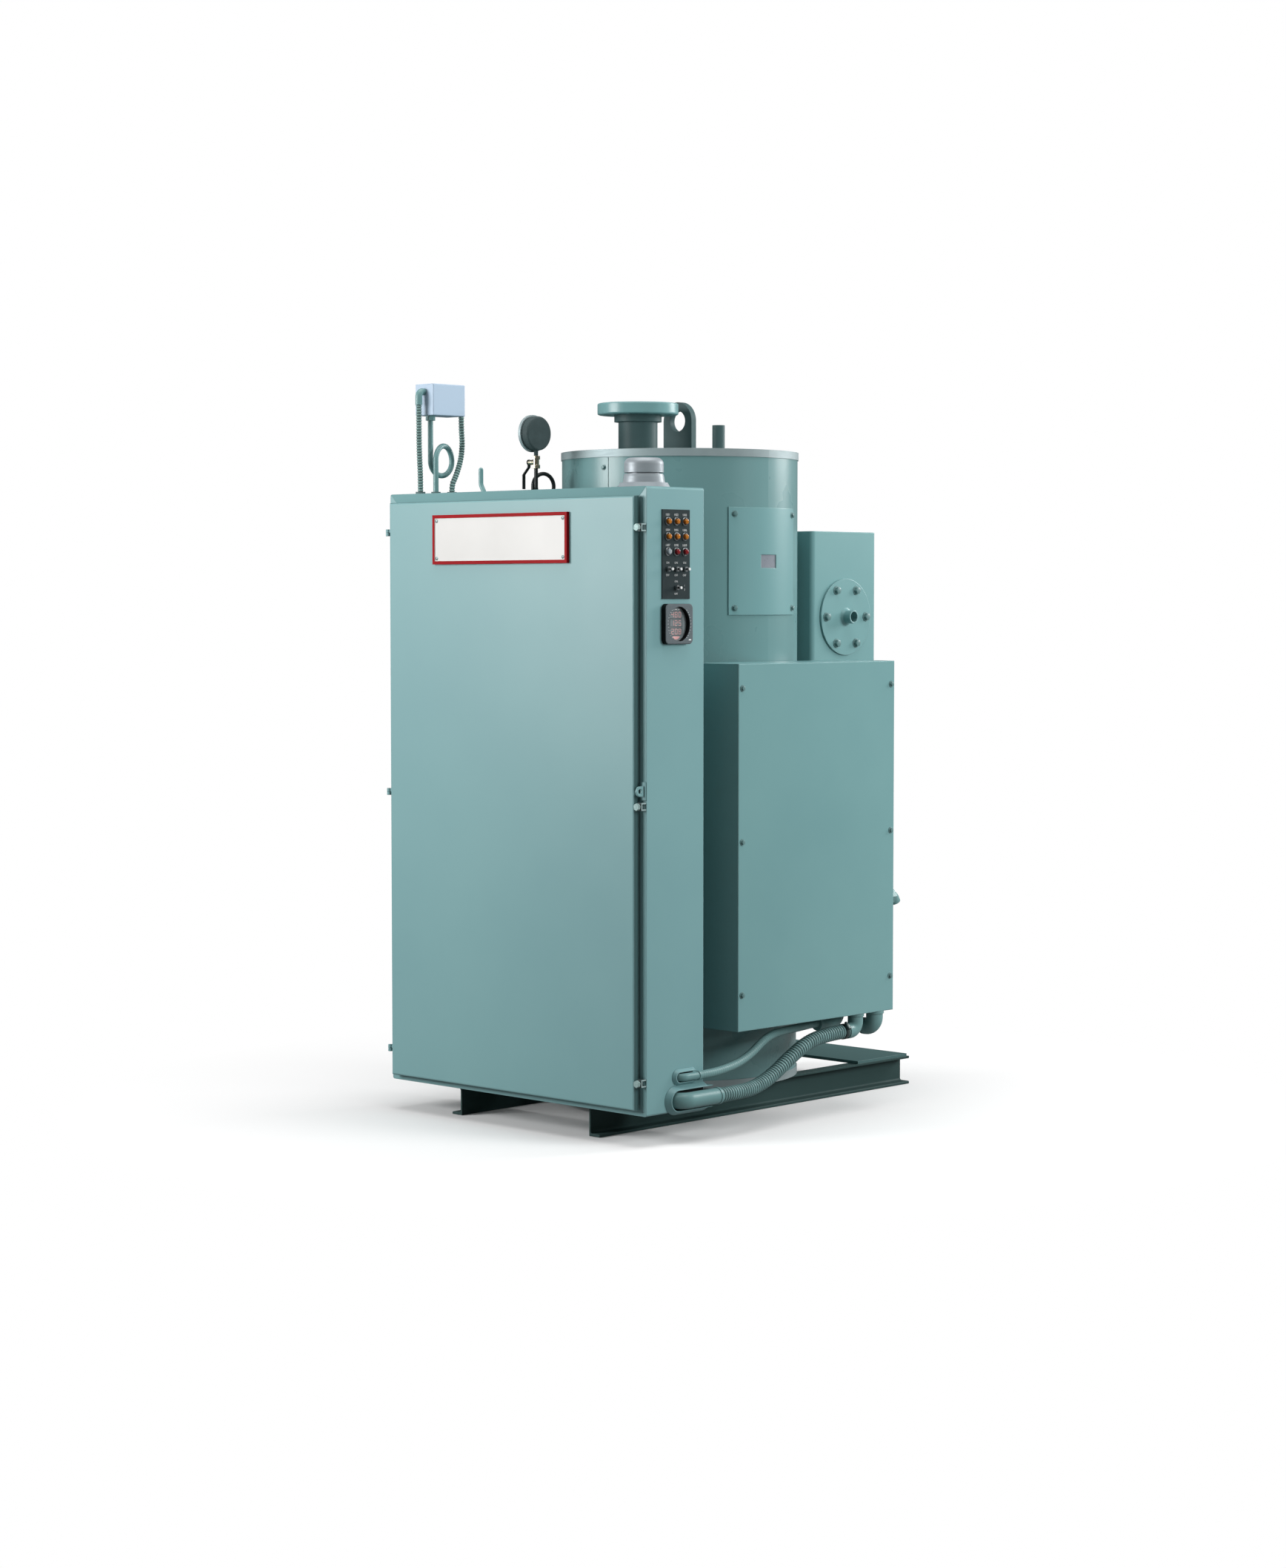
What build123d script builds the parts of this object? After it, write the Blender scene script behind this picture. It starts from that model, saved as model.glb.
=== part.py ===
import os
from math import radians, tan

from build123d import *

os.makedirs("parts", exist_ok=True)

# Driving sizes, in millimetres, and one overrun for every cut
overrun = 5.0

# Skid of two channels laid with their flanges outwards
skid_length = 1219.2
skid_height = 76.2
skid_flange = 35.8
skid_web = 4.3
skid_flange_thickness = 6.9
skid_root_radius = 6.0
skid_toe_radius = 2.5
skid_spread = 532.0
skid_setback = 33.3
rear_plate_depth = 209.0
rear_plate_thickness = 8.0
rear_plate_inset = 11.0

# Control cabinet of folded sheet
cabinet_width = 914.4
cabinet_height = 1524.0
cabinet_depth = 203.2
sheet = 2.5
cabinet_corner = 6.0
lip_width = 38.0
lip_return = 12.0
panel_margin = 40.0
panel_thickness = 3.0
panel_standoff = 14.0
panel_stud_radius = 6.0
panel_stud_inset = 30.0

# Cabinet door, a shallow pan hung on lift-off hinges
door_side_margin = 20.0
door_top_margin = 23.0
door_bottom_margin = 15.0
door_gap = 7.0
door_depth = 16.0
door_sheet = 2.0
door_edge_radius = 5.0
gasket_inset = 10.0
gasket_width = 14.0
gasket_gap = 5.5

# Lift-off hinges, one height list shared with the clamps
fitting_bottom_inset = 82.8
fitting_top_inset = 99.2
hinge_inset = 5.4
hinge_standoff = 13.0
hinge_radius = 6.5
hinge_pin_radius = 3.5
hinge_running_gap = 0.06
hinge_knuckle = 8.7
hinge_face_gap = 0.5
hinge_leaf = 4.0
hinge_foot = 14.0

# Screw clamps and padlock eye on the free edge of the cabinet
clamp_edge_gap = 1.0
clamp_width = 12.0
clamp_reach = 17.0
clamp_plate = 3.5
clamp_span = 19.0
clamp_head_across = 16.0
clamp_head_height = 6.5
clamp_screw_radius = 4.0
clamp_head_gap = 6.0
hasp_rise = 37.0
hasp_length = 44.0
hasp_plate = 4.0
hasp_foot_width = 11.0
hasp_eye_radius = 12.5
hasp_hole_radius = 6.2
hasp_reach = 17.0

# Plate on the door
nameplate_width = 483.0
nameplate_height = 125.0
nameplate_thickness = 8.0
nameplate_left = 192.4
nameplate_drop = 57.7
nameplate_rim = 8.5
nameplate_rim_depth = 1.5

# Lamp panel and meter on the right side of the cabinet
lamp_panel_width = 98.0
lamp_panel_height = 216.0
lamp_panel_drop = 54.6
lamp_panel_thickness = 2.5
lamp_pitch_across = 30.0
lamp_pitch_down = 36.6
lamp_first_drop = 28.6
lamp_bezel_radius = 10.0
lamp_bezel_height = 3.5
lamp_bezel_chamfer = 0.9
lamp_bezel_bore_radius = 8.2
lamp_lens_radius = 6.6
lamp_lens_height = 10.0
lamp_lens_dome = 3.0
toggle_drop = 143.6
toggle_lower_drop = 188.6
toggle_bush_radius = 6.0
toggle_bush_height = 7.0
toggle_lever_radius = 2.4
toggle_lever_tip_radius = 3.4
toggle_lever_length = 11.0
meter_size = 98.0
meter_drop = 282.0
meter_depth = 14.0
meter_corner = 12.0
meter_edge = 3.0
meter_window_width = 74.0
meter_window_height = 84.0
meter_window_depth = 12.0

# Breather vent on the roof
vent_side = 105.0
vent_foot_radius = 65.0
vent_foot_top_radius = 58.5
vent_foot_height = 12.5
vent_skirt_radius = 51.5
vent_skirt_top_radius = 49.5
vent_skirt_height = 27.0
vent_collar_radius = 47.5
vent_collar_height = 34.0
vent_gap = 3.0
vent_stem_radius = 38.0
vent_dome_radius = 48.5
vent_dome_height = 38.0
vent_dome_wall = 20.0
vent_dome_crown = 15.0
vent_dome_lip = 1.5

# Pressure control box and its pigtail pipe
control_side = 47.4
control_front = 45.0
control_width = 68.0
control_depth = 113.0
control_height = 81.0
control_lift = 202.8
control_edge = 2.5
pipe_radius = 6.85
control_pipe_front = 15.0
control_pipe_side = 27.0
control_loop_radius = 37.5
control_loop_lift = 86.5
loop_shift = 20.0
hex_across = 22.0
hex_height = 13.0
flex_radius = 7.5
flex_elbow_drop = 20.3
flex_elbow_reach = 18.8
flex_elbow_radius = 9.0
flex_elbow_fall = 34.7
flex_elbow_bend = 13.0
seal_height = 6.0
seal_flange = 5.0

# Bent tube on the roof
tube_radius = 6.0
tube_side = 668.0
tube_slant = 13.0
tube_slant_height = 22.0
tube_height = 60.0
tube_bend = 20.0

# Pressure gauge, its cock and its pigtail
gauge_side = 598.0
gauge_front = 218.0
gauge_lift = 154.6
gauge_radius = 47.7
gauge_case_depth = 26.0
gauge_bezel_depth = 8.0
gauge_bezel_lip = 4.0
gauge_back_edge = 5.0
gauge_stem_radius = 5.5
cock_lift = 65.0
cock_height = 32.0
cock_radius = 8.0
cock_hex_across = 19.0
cock_end_height = 9.0
cock_stem_radius = 4.0
cock_stem_reach = 31.0
cock_boss_radius = 6.5
cock_boss_reach = 24.0
cock_running_gap = 0.06
lever_length = 68.0
lever_knee_share = 0.18
lever_width = 9.0
lever_thickness = 3.0
lever_crank = 19.0
lever_eye_radius = 7.5
lever_gap = 0.5
gauge_pipe_radius = 5.0
gauge_loop_radius = 32.0
gauge_loop_lift = 20.0
gauge_loop_shift = -11.0
gauge_tap_drop = 120.0
gauge_tap_bend = 22.0

# Vertical pressure vessel in a sheet jacket
vessel_radius = 310.0
vessel_top_height = 1712.0
vessel_setback = 610.0
jacket_sheet = 3.0
head_thickness = 10.0
band_reach = 2.5
band_height = 20.0

# Outlet, lug and stub on the vessel head
outlet_forward = 159.5
outlet_radius = 50.8
outlet_bore_radius = 45.0
outlet_lift = 125.0
outlet_flange_radius = 105.0
outlet_flange_thickness = 31.2
outlet_hub_radius = 61.5
outlet_hub_height = 18.0
outlet_bolt_circle_radius = 84.15
outlet_bolt_hole_radius = 11.1
outlet_bolt_count = 8
outlet_face_radius = 63.5
outlet_face_step = 1.6
outlet_rim_radius = 4.0
weld_gap = 0.3
lug_width = 100.0
lug_thickness = 18.0
lug_hole_radius = 27.0
lug_hole_lift = 84.0
stub_back = 152.0
stub_radius = 16.7
stub_bore_radius = 13.3
stub_lift = 80.0

# Curved cover on the jacket
cover_angle = 47.4
cover_turn = 0.0
cover_drop = 148.0
cover_height = 275.0
cover_thickness = 3.0
cover_window_width = 58.0
cover_window_height = 34.0

# Heater terminal box, carried by a wide nozzle
box_reach = 24.3
box_width = 609.6
box_height = 914.4
box_bottom = 255.3
box_cover_depth = 3.0
box_edge = 1.5
box_back_gap = 3.0
heater_nozzle_radius = 210.0

# Rear junction box with its round port
rear_box_width = 380.0
rear_box_depth = 267.0
rear_box_corner = 12.0
rear_box_height = 458.0
rear_box_drop = 201.0
rear_box_gap = 6.0
rear_nozzle_radius = 100.0
port_radius = 103.0
port_thickness = 6.0
port_weld_reach = 6.0
port_nipple_radius = 18.0
port_nipple_bore_radius = 14.0
port_nipple_length = 28.0

# Conduit elbows on the cabinet side and under the terminal box
large_hose_radius = 19.0
small_hose_radius = 10.5
large_elbow_radius = 20.0
small_elbow_radius = 9.5
large_outlet_back = 100.0
large_outlet_height = 106.0
large_hose_offset = 26.0
large_elbow_bend = 25.5
large_elbow_end = 230.0
small_outlet_back = 110.0
small_outlet_height = 162.0
small_hose_offset = 14.0
small_elbow_bend = 13.5
small_elbow_end = 174.0
elbow_ring_reach = 1.5
elbow_ring_length = 7.0
large_hood_radius = 27.2
large_hood_depth = 16.0
large_hood_flare = 9.0
small_hood_radius = 14.0
small_hood_depth = 10.0
small_hood_flare = 6.0
hood_wall = 2.0
hood_ring_gap = 1.5
large_entry_back = 790.0
large_entry_elbow_start = 752.0
large_entry_height = 212.0
small_entry_back = 836.0
small_entry_elbow_start = 752.0
small_entry_height = 223.0
small_entry_side = 100.0
small_entry_radius = 19.0
spare_entry_back = 868.0
spare_entry_reach = 38.0
spare_radius = 22.0
entry_ring_reach = 2.5
entry_ring_height = 7.0
entry_bend_share = 1.2
rear_fitting_height = 552.0
rear_fitting_inset = 22.0
rear_nut_across = 34.6
rear_nut_reach = 18.0
rear_tube_radius = 15.0
rear_tube_run = 23.0
rear_tube_back = 10.0
rear_tube_fall = 17.0
rear_tube_bend = 16.0

# Main planes, worked out so that the origin lies under the middle of the whole outline
right_reach = large_hose_offset + large_elbow_radius + elbow_ring_reach
left_reach = hinge_radius - hinge_inset
front_reach = door_gap + door_depth + nameplate_thickness
cabinet_right = (cabinet_width + left_reach - right_reach) / 2
cabinet_left = cabinet_right - cabinet_width
cabinet_front = (front_reach - skid_setback - skid_length) / 2
cabinet_back = cabinet_front + cabinet_depth
cabinet_bottom = skid_height
roof = cabinet_bottom + cabinet_height
cabinet_middle_x = (cabinet_left + cabinet_right) / 2
cabinet_middle_y = (cabinet_front + cabinet_back) / 2
vessel_x = cabinet_middle_x
vessel_y = cabinet_front + vessel_setback
skid_front = cabinet_front + skid_setback
skid_rear = skid_front + skid_length
door_back = cabinet_front - door_gap
door_front = door_back - door_depth
fitting_low = cabinet_bottom + fitting_bottom_inset
fitting_high = roof - fitting_top_inset
fitting_heights = [fitting_low, (fitting_low + fitting_high) / 2, fitting_high]

# Cord routes: points from the cabinet's right or the control box's left side, front lip and floor
route_radius_share = 0.45
large_hose_route = [
    (26, 230, 106), (26, 296, 106), (19, 372, 108), (12, 448, 130),
    (6, 522, 167), (2, 600, 201), (0, 690, 212), (0, 752, 212),
]
small_hose_route = [
    (14, 174, 162), (14, 212, 162), (11, 262, 165), (4, 322, 172), (-6, 384, 188),
    (-20, 446, 214), (-36, 504, 226), (-54, 570, 226), (-76, 646, 224), (-92, 700, 223),
    (-100, 730, 223), (-100, 752, 223),
]
left_flex_route = [
    (34, 26.2, 1829), (34, 26.2, 1786), (34, 26.6, 1732),
    (34, 28, 1688), (34, 30.8, 1648), (34, 30.8, 1606.2),
]
right_flex_route = [
    (61, 150.5, 1803), (61, 150.5, 1768), (64, 151, 1734), (70, 142, 1700),
    (76, 127, 1671), (80, 111, 1644), (81, 98, 1626), (81, 98, 1606.2),
]


# Helpers
def slab(x_range, y_range, z_range):
    size = [high - low for low, high in (x_range, y_range, z_range)]
    middle = [(low + high) / 2 for low, high in (x_range, y_range, z_range)]
    return Pos(*middle) * Box(*size)


def post(radius, x, y, bottom, top):
    return Pos(x, y, (bottom + top) / 2) * Cylinder(radius, top - bottom)


def rod_along_x(radius, start, end, y, z):
    return Pos((start + end) / 2, y, z) * Rot(0, 90, 0) * Cylinder(radius, end - start)


def rod_along_y(radius, x, start, end, z):
    return Pos(x, (start + end) / 2, z) * Rot(90, 0, 0) * Cylinder(radius, end - start)


def hexagon_post(across, x, y, bottom, top):
    outline = RegularPolygon(across / 2, 6, major_radius=False)
    return extrude(Pos(x, y, bottom) * outline, top - bottom, dir=(0, 0, 1))


def swept_rod(radius, path):
    line = path if isinstance(path, Wire) else Wire(path.edges())
    start = Plane(line @ 0, z_dir=line % 0)
    return sweep(start * Circle(radius), path=line)


def route_tube(name, route, side_x, radius):
    points = [Vector(side_x + x, cabinet_front + y, z) for x, y, z in route]
    radii = []
    for before, here, after in zip(points, points[1:], points[2:]):
        turn = (here - before).get_angle(after - here)
        shorter = min((here - before).length, (after - here).length)
        radii.append(route_radius_share * shorter / tan(radians(turn) / 2))
    path = FilletPolyline(*points, radius=radii)
    print(name, "length", round(path.length, 1), "radii", [round(value) for value in radii])
    return swept_rod(radius, path)


def export(name, *solids):
    shape = solids[0] if len(solids) == 1 else Compound(children=list(solids))
    export_step(shape, f"parts/{name}.step")


# Skid channels and rear cross plate
def skid_channel(side):
    outer = vessel_x + side * skid_spread / 2
    web_back = outer - side * skid_flange
    web_face = web_back + side * skid_web
    low, high = skid_flange_thickness, skid_height - skid_flange_thickness
    outline = [
        (web_back, 0), (outer, 0), (outer, low), (web_face, low),
        (web_face, high), (outer, high), (outer, skid_height), (web_back, skid_height),
    ]
    profile = make_face(Polyline(*[Vector(x, skid_front, z) for x, z in outline], close=True))
    channel = extrude(profile, skid_length, dir=(0, 1, 0))
    channel = fillet(inner_edges(channel, web_face), skid_root_radius)
    return fillet(inner_edges(channel, outer), skid_toe_radius)


def inner_edges(channel, x):
    along = channel.edges().filter_by(Axis.Y)
    between = along.filter_by_position(Axis.Z, skid_flange_thickness, skid_height - skid_flange_thickness)
    return between.filter_by(lambda edge: abs(edge.center().X - x) < skid_web / 2)


export("skid_channel_left", skid_channel(-1))
export("skid_channel_right", skid_channel(1))
plate_half = skid_spread / 2
plate_rear = skid_rear - rear_plate_inset
rear_plate_top = skid_height + rear_plate_thickness
export(
    "skid_rear_plate",
    slab(
        (vessel_x - plate_half, vessel_x + plate_half),
        (plate_rear - rear_plate_depth, plate_rear),
        (skid_height, rear_plate_top),
    ),
)


# Cabinet walls, folded from one ring of sheet and cut along mitres
def front_outline(width, height, corner):
    middle_z = cabinet_bottom + cabinet_height / 2
    plane = Plane((cabinet_middle_x, 0, middle_z), x_dir=(1, 0, 0), z_dir=(0, 1, 0))
    if corner > 0:
        return plane * RectangleRounded(width, height, corner)
    return plane * Rectangle(width, height)


def front_block(width, height, corner, y_start, y_end):
    block = extrude(front_outline(width, height, corner), y_end - y_start, dir=(0, 1, 0))
    return Pos(0, y_start, 0) * block


def mitre_prism(points):
    corners = [Vector(x, cabinet_front - overrun, z) for x, z in points]
    return extrude(make_face(Polyline(*corners, close=True)), cabinet_depth + 2 * overrun, dir=(0, 1, 0))


inner_width = cabinet_width - 2 * sheet
inner_height = cabinet_height - 2 * sheet
opening_width = cabinet_width - 2 * lip_width
opening_height = cabinet_height - 2 * lip_width
folded_ring = front_block(cabinet_width, cabinet_height, cabinet_corner, cabinet_front, cabinet_back)
folded_ring -= front_block(inner_width, inner_height, 0, cabinet_front + sheet, cabinet_back + overrun)
folded_ring -= front_block(opening_width, opening_height, 0, cabinet_front - overrun, cabinet_back)
lip_flange = front_block(
    opening_width + 2 * sheet, opening_height + 2 * sheet, 0,
    cabinet_front + sheet, cabinet_front + lip_return,
)
lip_flange -= front_block(opening_width, opening_height, 0, cabinet_front, cabinet_back)
folded_ring += lip_flange
mitre = lip_width + sheet
low_x, high_x = cabinet_left, cabinet_right
low_z, high_z = cabinet_bottom, roof
mitre_cuts = {
    "cabinet_roof": [
        (low_x, high_z), (high_x, high_z),
        (high_x - mitre, high_z - mitre), (low_x + mitre, high_z - mitre),
    ],
    "cabinet_floor": [
        (low_x, low_z), (high_x, low_z),
        (high_x - mitre, low_z + mitre), (low_x + mitre, low_z + mitre),
    ],
    "cabinet_left_side": [
        (low_x, low_z), (low_x, high_z),
        (low_x + mitre, high_z - mitre), (low_x + mitre, low_z + mitre),
    ],
    "cabinet_right_side": [
        (high_x, low_z), (high_x, high_z),
        (high_x - mitre, high_z - mitre), (high_x - mitre, low_z + mitre),
    ],
}
for wall_name, wall_points in mitre_cuts.items():
    export(wall_name, folded_ring & mitre_prism(wall_points))
export("cabinet_back", front_block(inner_width, inner_height, 0, cabinet_back - sheet, cabinet_back))

# Mounting panel inside, on studs from the back
panel_back = cabinet_back - sheet - panel_standoff
panel_width = inner_width - 2 * panel_margin
panel_height = inner_height - 2 * panel_margin
mounting_panel = front_block(panel_width, panel_height, 0, panel_back - panel_thickness, panel_back)
for side_x in (-1, 1):
    for side_z in (-1, 1):
        stud_x = cabinet_middle_x + side_x * (panel_width / 2 - panel_stud_inset)
        stud_z = cabinet_bottom + cabinet_height / 2 + side_z * (panel_height / 2 - panel_stud_inset)
        stud_end = panel_back + panel_standoff
        mounting_panel += rod_along_y(panel_stud_radius, stud_x, panel_back, stud_end, stud_z)
export("mounting_panel", mounting_panel)

# Door pan and its gasket
door_left = cabinet_left + door_side_margin
door_right = cabinet_right - door_side_margin
door_bottom = cabinet_bottom + door_bottom_margin
door_top = roof - door_top_margin
door_block = slab((door_left, door_right), (door_front, door_back), (door_bottom, door_top))
front_face = door_block.faces().sort_by(Axis.Y)[0]
door_block = fillet(front_face.edges(), door_edge_radius)
door_block -= slab(
    (door_left + door_sheet, door_right - door_sheet),
    (door_front + door_sheet, door_back + overrun),
    (door_bottom + door_sheet, door_top - door_sheet),
)
export("cabinet_door", door_block)


def door_ring(inset, y_range):
    return slab(
        (door_left + inset, door_right - inset), y_range, (door_bottom + inset, door_top - inset)
    )


gasket_start = door_front + door_sheet
gasket_end = cabinet_front - gasket_gap
gasket = door_ring(door_sheet + gasket_inset, (gasket_start, gasket_end))
gasket_inside = door_sheet + gasket_inset + gasket_width
gasket -= door_ring(gasket_inside, (gasket_start - overrun, gasket_end + overrun))
export("door_gasket", gasket)

# Lift-off hinges: a pin on the cabinet's half, a bored knuckle on the door's half
hinge_x = cabinet_left + hinge_inset
hinge_y = cabinet_front - hinge_standoff
cabinet_hinges, door_hinges = [], []
for height in fitting_heights:
    lower = (height - hinge_knuckle, height - hinge_face_gap)
    upper = (height, height + hinge_knuckle)
    fixed = post(hinge_radius, hinge_x, hinge_y, *lower)
    fixed += slab((hinge_x - hinge_leaf / 2, hinge_x + hinge_leaf / 2), (hinge_y, cabinet_front), lower)
    foot_left = hinge_x - hinge_leaf / 2
    fixed += slab((foot_left, foot_left + hinge_foot), (cabinet_front - hinge_leaf, cabinet_front), lower)
    fixed += post(hinge_pin_radius, hinge_x, hinge_y, height - hinge_knuckle, height + hinge_knuckle)
    cabinet_hinges.append(fixed)
    swung = post(hinge_radius, hinge_x, hinge_y, *upper)
    swung += slab((hinge_x, door_left), (hinge_y - hinge_leaf / 2, hinge_y + hinge_leaf / 2), upper)
    bore_radius = hinge_pin_radius + hinge_running_gap
    swung -= post(bore_radius, hinge_x, hinge_y, height - overrun, height + hinge_knuckle + overrun)
    door_hinges.append(swung)
export("cabinet_hinges", *cabinet_hinges)
export("door_hinges", *door_hinges)

# Screw clamps along the free edge
clamp_right = cabinet_right - clamp_edge_gap
clamp_left = clamp_right - clamp_width
clamp_x = (clamp_left + clamp_right) / 2
clamp_front = cabinet_front - clamp_reach
clamps = []
for height in fitting_heights:
    low, high = height - clamp_span / 2, height + clamp_span / 2
    clamp = slab((clamp_left, clamp_right), (clamp_front, cabinet_front), (low, low + clamp_plate))
    clamp += slab((clamp_left, clamp_right), (clamp_front, cabinet_front), (high - clamp_plate, high))
    clamp += slab((clamp_left, clamp_right), (clamp_front, clamp_front + clamp_plate), (low, high))
    head_back = clamp_front - clamp_head_gap
    screw_front = head_back - clamp_head_height / 2
    clamp += rod_along_y(clamp_screw_radius, clamp_x, screw_front, clamp_front + clamp_plate, height)
    head_plane = Plane((clamp_x, head_back, height), x_dir=(0, 0, 1), z_dir=(0, -1, 0))
    head_outline = head_plane * RegularPolygon(clamp_head_across / 2, 6, major_radius=False)
    clamp += extrude(head_outline, clamp_head_height)
    clamps.append(clamp)
export("door_clamps", *clamps)

# Padlock eye above the middle clamp
hasp_x = clamp_x
hasp_height = fitting_heights[1] + hasp_rise
hasp = slab(
    (hasp_x - hasp_foot_width / 2, hasp_x + hasp_foot_width / 2),
    (cabinet_front - hasp_plate, cabinet_front),
    (hasp_height - hasp_length / 2, hasp_height + hasp_length / 2),
)
eye_x = (hasp_x - hasp_plate / 2, hasp_x + hasp_plate / 2)
eye_y = cabinet_front - hasp_reach
eye_z = (hasp_height - hasp_eye_radius, hasp_height + hasp_eye_radius)
hasp += slab(eye_x, (eye_y, cabinet_front), eye_z)
hasp += rod_along_x(hasp_eye_radius, *eye_x, eye_y, hasp_height)
hasp -= rod_along_x(hasp_hole_radius, eye_x[0] - overrun, eye_x[1] + overrun, eye_y, hasp_height)
export("padlock_hasp", hasp)

# Plate on the door, with a raised rim
plate_left = cabinet_left + nameplate_left
plate_top = roof - nameplate_drop
plate_x = (plate_left, plate_left + nameplate_width)
plate_z = (plate_top - nameplate_height, plate_top)
nameplate = slab(plate_x, (door_front - nameplate_thickness, door_front), plate_z)
nameplate -= slab(
    (plate_x[0] + nameplate_rim, plate_x[1] - nameplate_rim),
    (door_front - nameplate_thickness - overrun, door_front - nameplate_thickness + nameplate_rim_depth),
    (plate_z[0] + nameplate_rim, plate_z[1] - nameplate_rim),
)
export("nameplate", nameplate)

# Lamp panel, its lamps and its toggle switches
lamp_panel_top = roof - lamp_panel_drop
lamp_face = cabinet_right + lamp_panel_thickness
export(
    "lamp_panel",
    slab(
        (cabinet_right, lamp_face),
        (cabinet_middle_y - lamp_panel_width / 2, cabinet_middle_y + lamp_panel_width / 2),
        (lamp_panel_top - lamp_panel_height, lamp_panel_top),
    ),
)


def lamp_bezel(y, z):
    ring = rod_along_x(lamp_bezel_radius, lamp_face, lamp_face + lamp_bezel_height, y, z)
    ring = chamfer(ring.edges().group_by(Axis.X)[-1], lamp_bezel_chamfer)
    bore_end = lamp_face + lamp_bezel_height + overrun
    return ring - rod_along_x(lamp_bezel_bore_radius, lamp_face - overrun, bore_end, y, z)


def lamp_lens(y, z):
    lens = rod_along_x(lamp_lens_radius, lamp_face, lamp_face + lamp_lens_height, y, z)
    return fillet(lens.edges().group_by(Axis.X)[-1], lamp_lens_dome)


def toggle_switch(y, z):
    switch = rod_along_x(toggle_bush_radius, lamp_face, lamp_face + toggle_bush_height, y, z)
    tip = lamp_face + toggle_bush_height + toggle_lever_length
    lever = Pos((lamp_face + toggle_bush_height + tip) / 2, y, z) * Rot(0, 90, 0) * Cone(
        toggle_lever_radius, toggle_lever_tip_radius, toggle_lever_length
    )
    return switch + lever


lamp_columns = [cabinet_middle_y + step * lamp_pitch_across for step in (-1, 0, 1)]
lamp_rows = [lamp_panel_top - lamp_first_drop - step * lamp_pitch_down for step in (0, 1, 2)]
export("lamp_bezels", *[lamp_bezel(y, z) for z in lamp_rows for y in lamp_columns])
export("amber_lamps", *[lamp_lens(y, z) for z in lamp_rows[:2] for y in lamp_columns])
export("white_lamp", lamp_lens(lamp_columns[0], lamp_rows[2]))
export("red_lamps", *[lamp_lens(y, lamp_rows[2]) for y in lamp_columns[1:]])
toggles = [toggle_switch(y, lamp_panel_top - toggle_drop) for y in lamp_columns]
toggles.append(toggle_switch(lamp_columns[1], lamp_panel_top - toggle_lower_drop))
export("toggle_switches", *toggles)

# Digital meter with an oval window
meter_z = roof - meter_drop - meter_size / 2
meter_plane = Plane((cabinet_right, cabinet_middle_y, meter_z), x_dir=(0, 1, 0), z_dir=(1, 0, 0))
meter = extrude(meter_plane * RectangleRounded(meter_size, meter_size, meter_corner), meter_depth)
meter = fillet(meter.faces().sort_by(Axis.X)[-1].edges(), meter_edge)
window_plane = meter_plane.offset(meter_depth - meter_window_depth)
window_outline = window_plane * Ellipse(meter_window_width / 2, meter_window_height / 2)
meter -= extrude(window_outline, meter_window_depth + overrun)
export("power_meter", meter)

# Breather vent on the roof: a spun base with a flared foot, and a domed cap over a stem
vent_x = cabinet_right - vent_side
vent_axis = Axis((vent_x, cabinet_middle_y, roof), (0, 0, 1))


def spun(edges):
    return revolve(Pos(vent_x, cabinet_middle_y, roof) * make_face(edges), vent_axis)


vent_base_points = [
    (0, 0, 0), (vent_foot_radius, 0, 0), (vent_foot_top_radius, 0, vent_foot_height),
    (vent_skirt_radius, 0, vent_foot_height), (vent_skirt_top_radius, 0, vent_skirt_height),
    (vent_collar_radius, 0, vent_collar_height), (0, 0, vent_collar_height),
]
export("vent_base", spun(Polyline(*vent_base_points, close=True)))
cap_bottom = vent_collar_height + vent_gap
cap_top = cap_bottom + vent_dome_height
cap_shoulder = (vent_dome_radius, 0, cap_bottom + vent_dome_wall)
cap_crown = (vent_dome_radius - vent_dome_crown, 0, cap_top - vent_dome_lip)
cap_lines = [
    Polyline((0, 0, cap_top), (0, 0, vent_collar_height), (vent_stem_radius, 0, vent_collar_height)),
    Polyline((vent_stem_radius, 0, vent_collar_height), (vent_stem_radius, 0, cap_bottom)),
    Polyline((vent_stem_radius, 0, cap_bottom), (vent_dome_radius, 0, cap_bottom), cap_shoulder),
    TangentArc(cap_shoulder, cap_crown, tangent=(0, 0, 1)),
    Line(cap_crown, (0, 0, cap_top)),
]
export("vent_cap", spun(Wire([edge for line in cap_lines for edge in line.edges()]).edges()))

# Pressure control box over the roof, held up by its pigtail pipe
control_left = cabinet_left + control_side
control_right = control_left + control_width
control_y = cabinet_front + control_front
control_bottom = roof + control_lift
control_top = control_bottom + control_height
control_box = slab(
    (control_left, control_right), (control_y, control_y + control_depth), (control_bottom, control_top)
)
export("control_box", fillet(control_box.edges(), control_edge))


def pigtail_lines(x, y, top, bottom, loop_z, loop_radius, shift):
    far_y = y + 2 * loop_radius
    middle_y = y + loop_radius
    reach = (loop_radius**2 + (shift / 2) ** 2) ** 0.5
    down = Line((x, y, top), (x, y, loop_z))
    under = ThreePointArc((x, y, loop_z), (x, middle_y, loop_z - loop_radius), (x, far_y, loop_z))
    crest = (x + shift / 2, middle_y, loop_z + reach)
    over = ThreePointArc((x, far_y, loop_z), crest, (x + shift, y, loop_z))
    last = Line((x + shift, y, loop_z), (x + shift, y, bottom))
    return [down, under, over, last]


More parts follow.
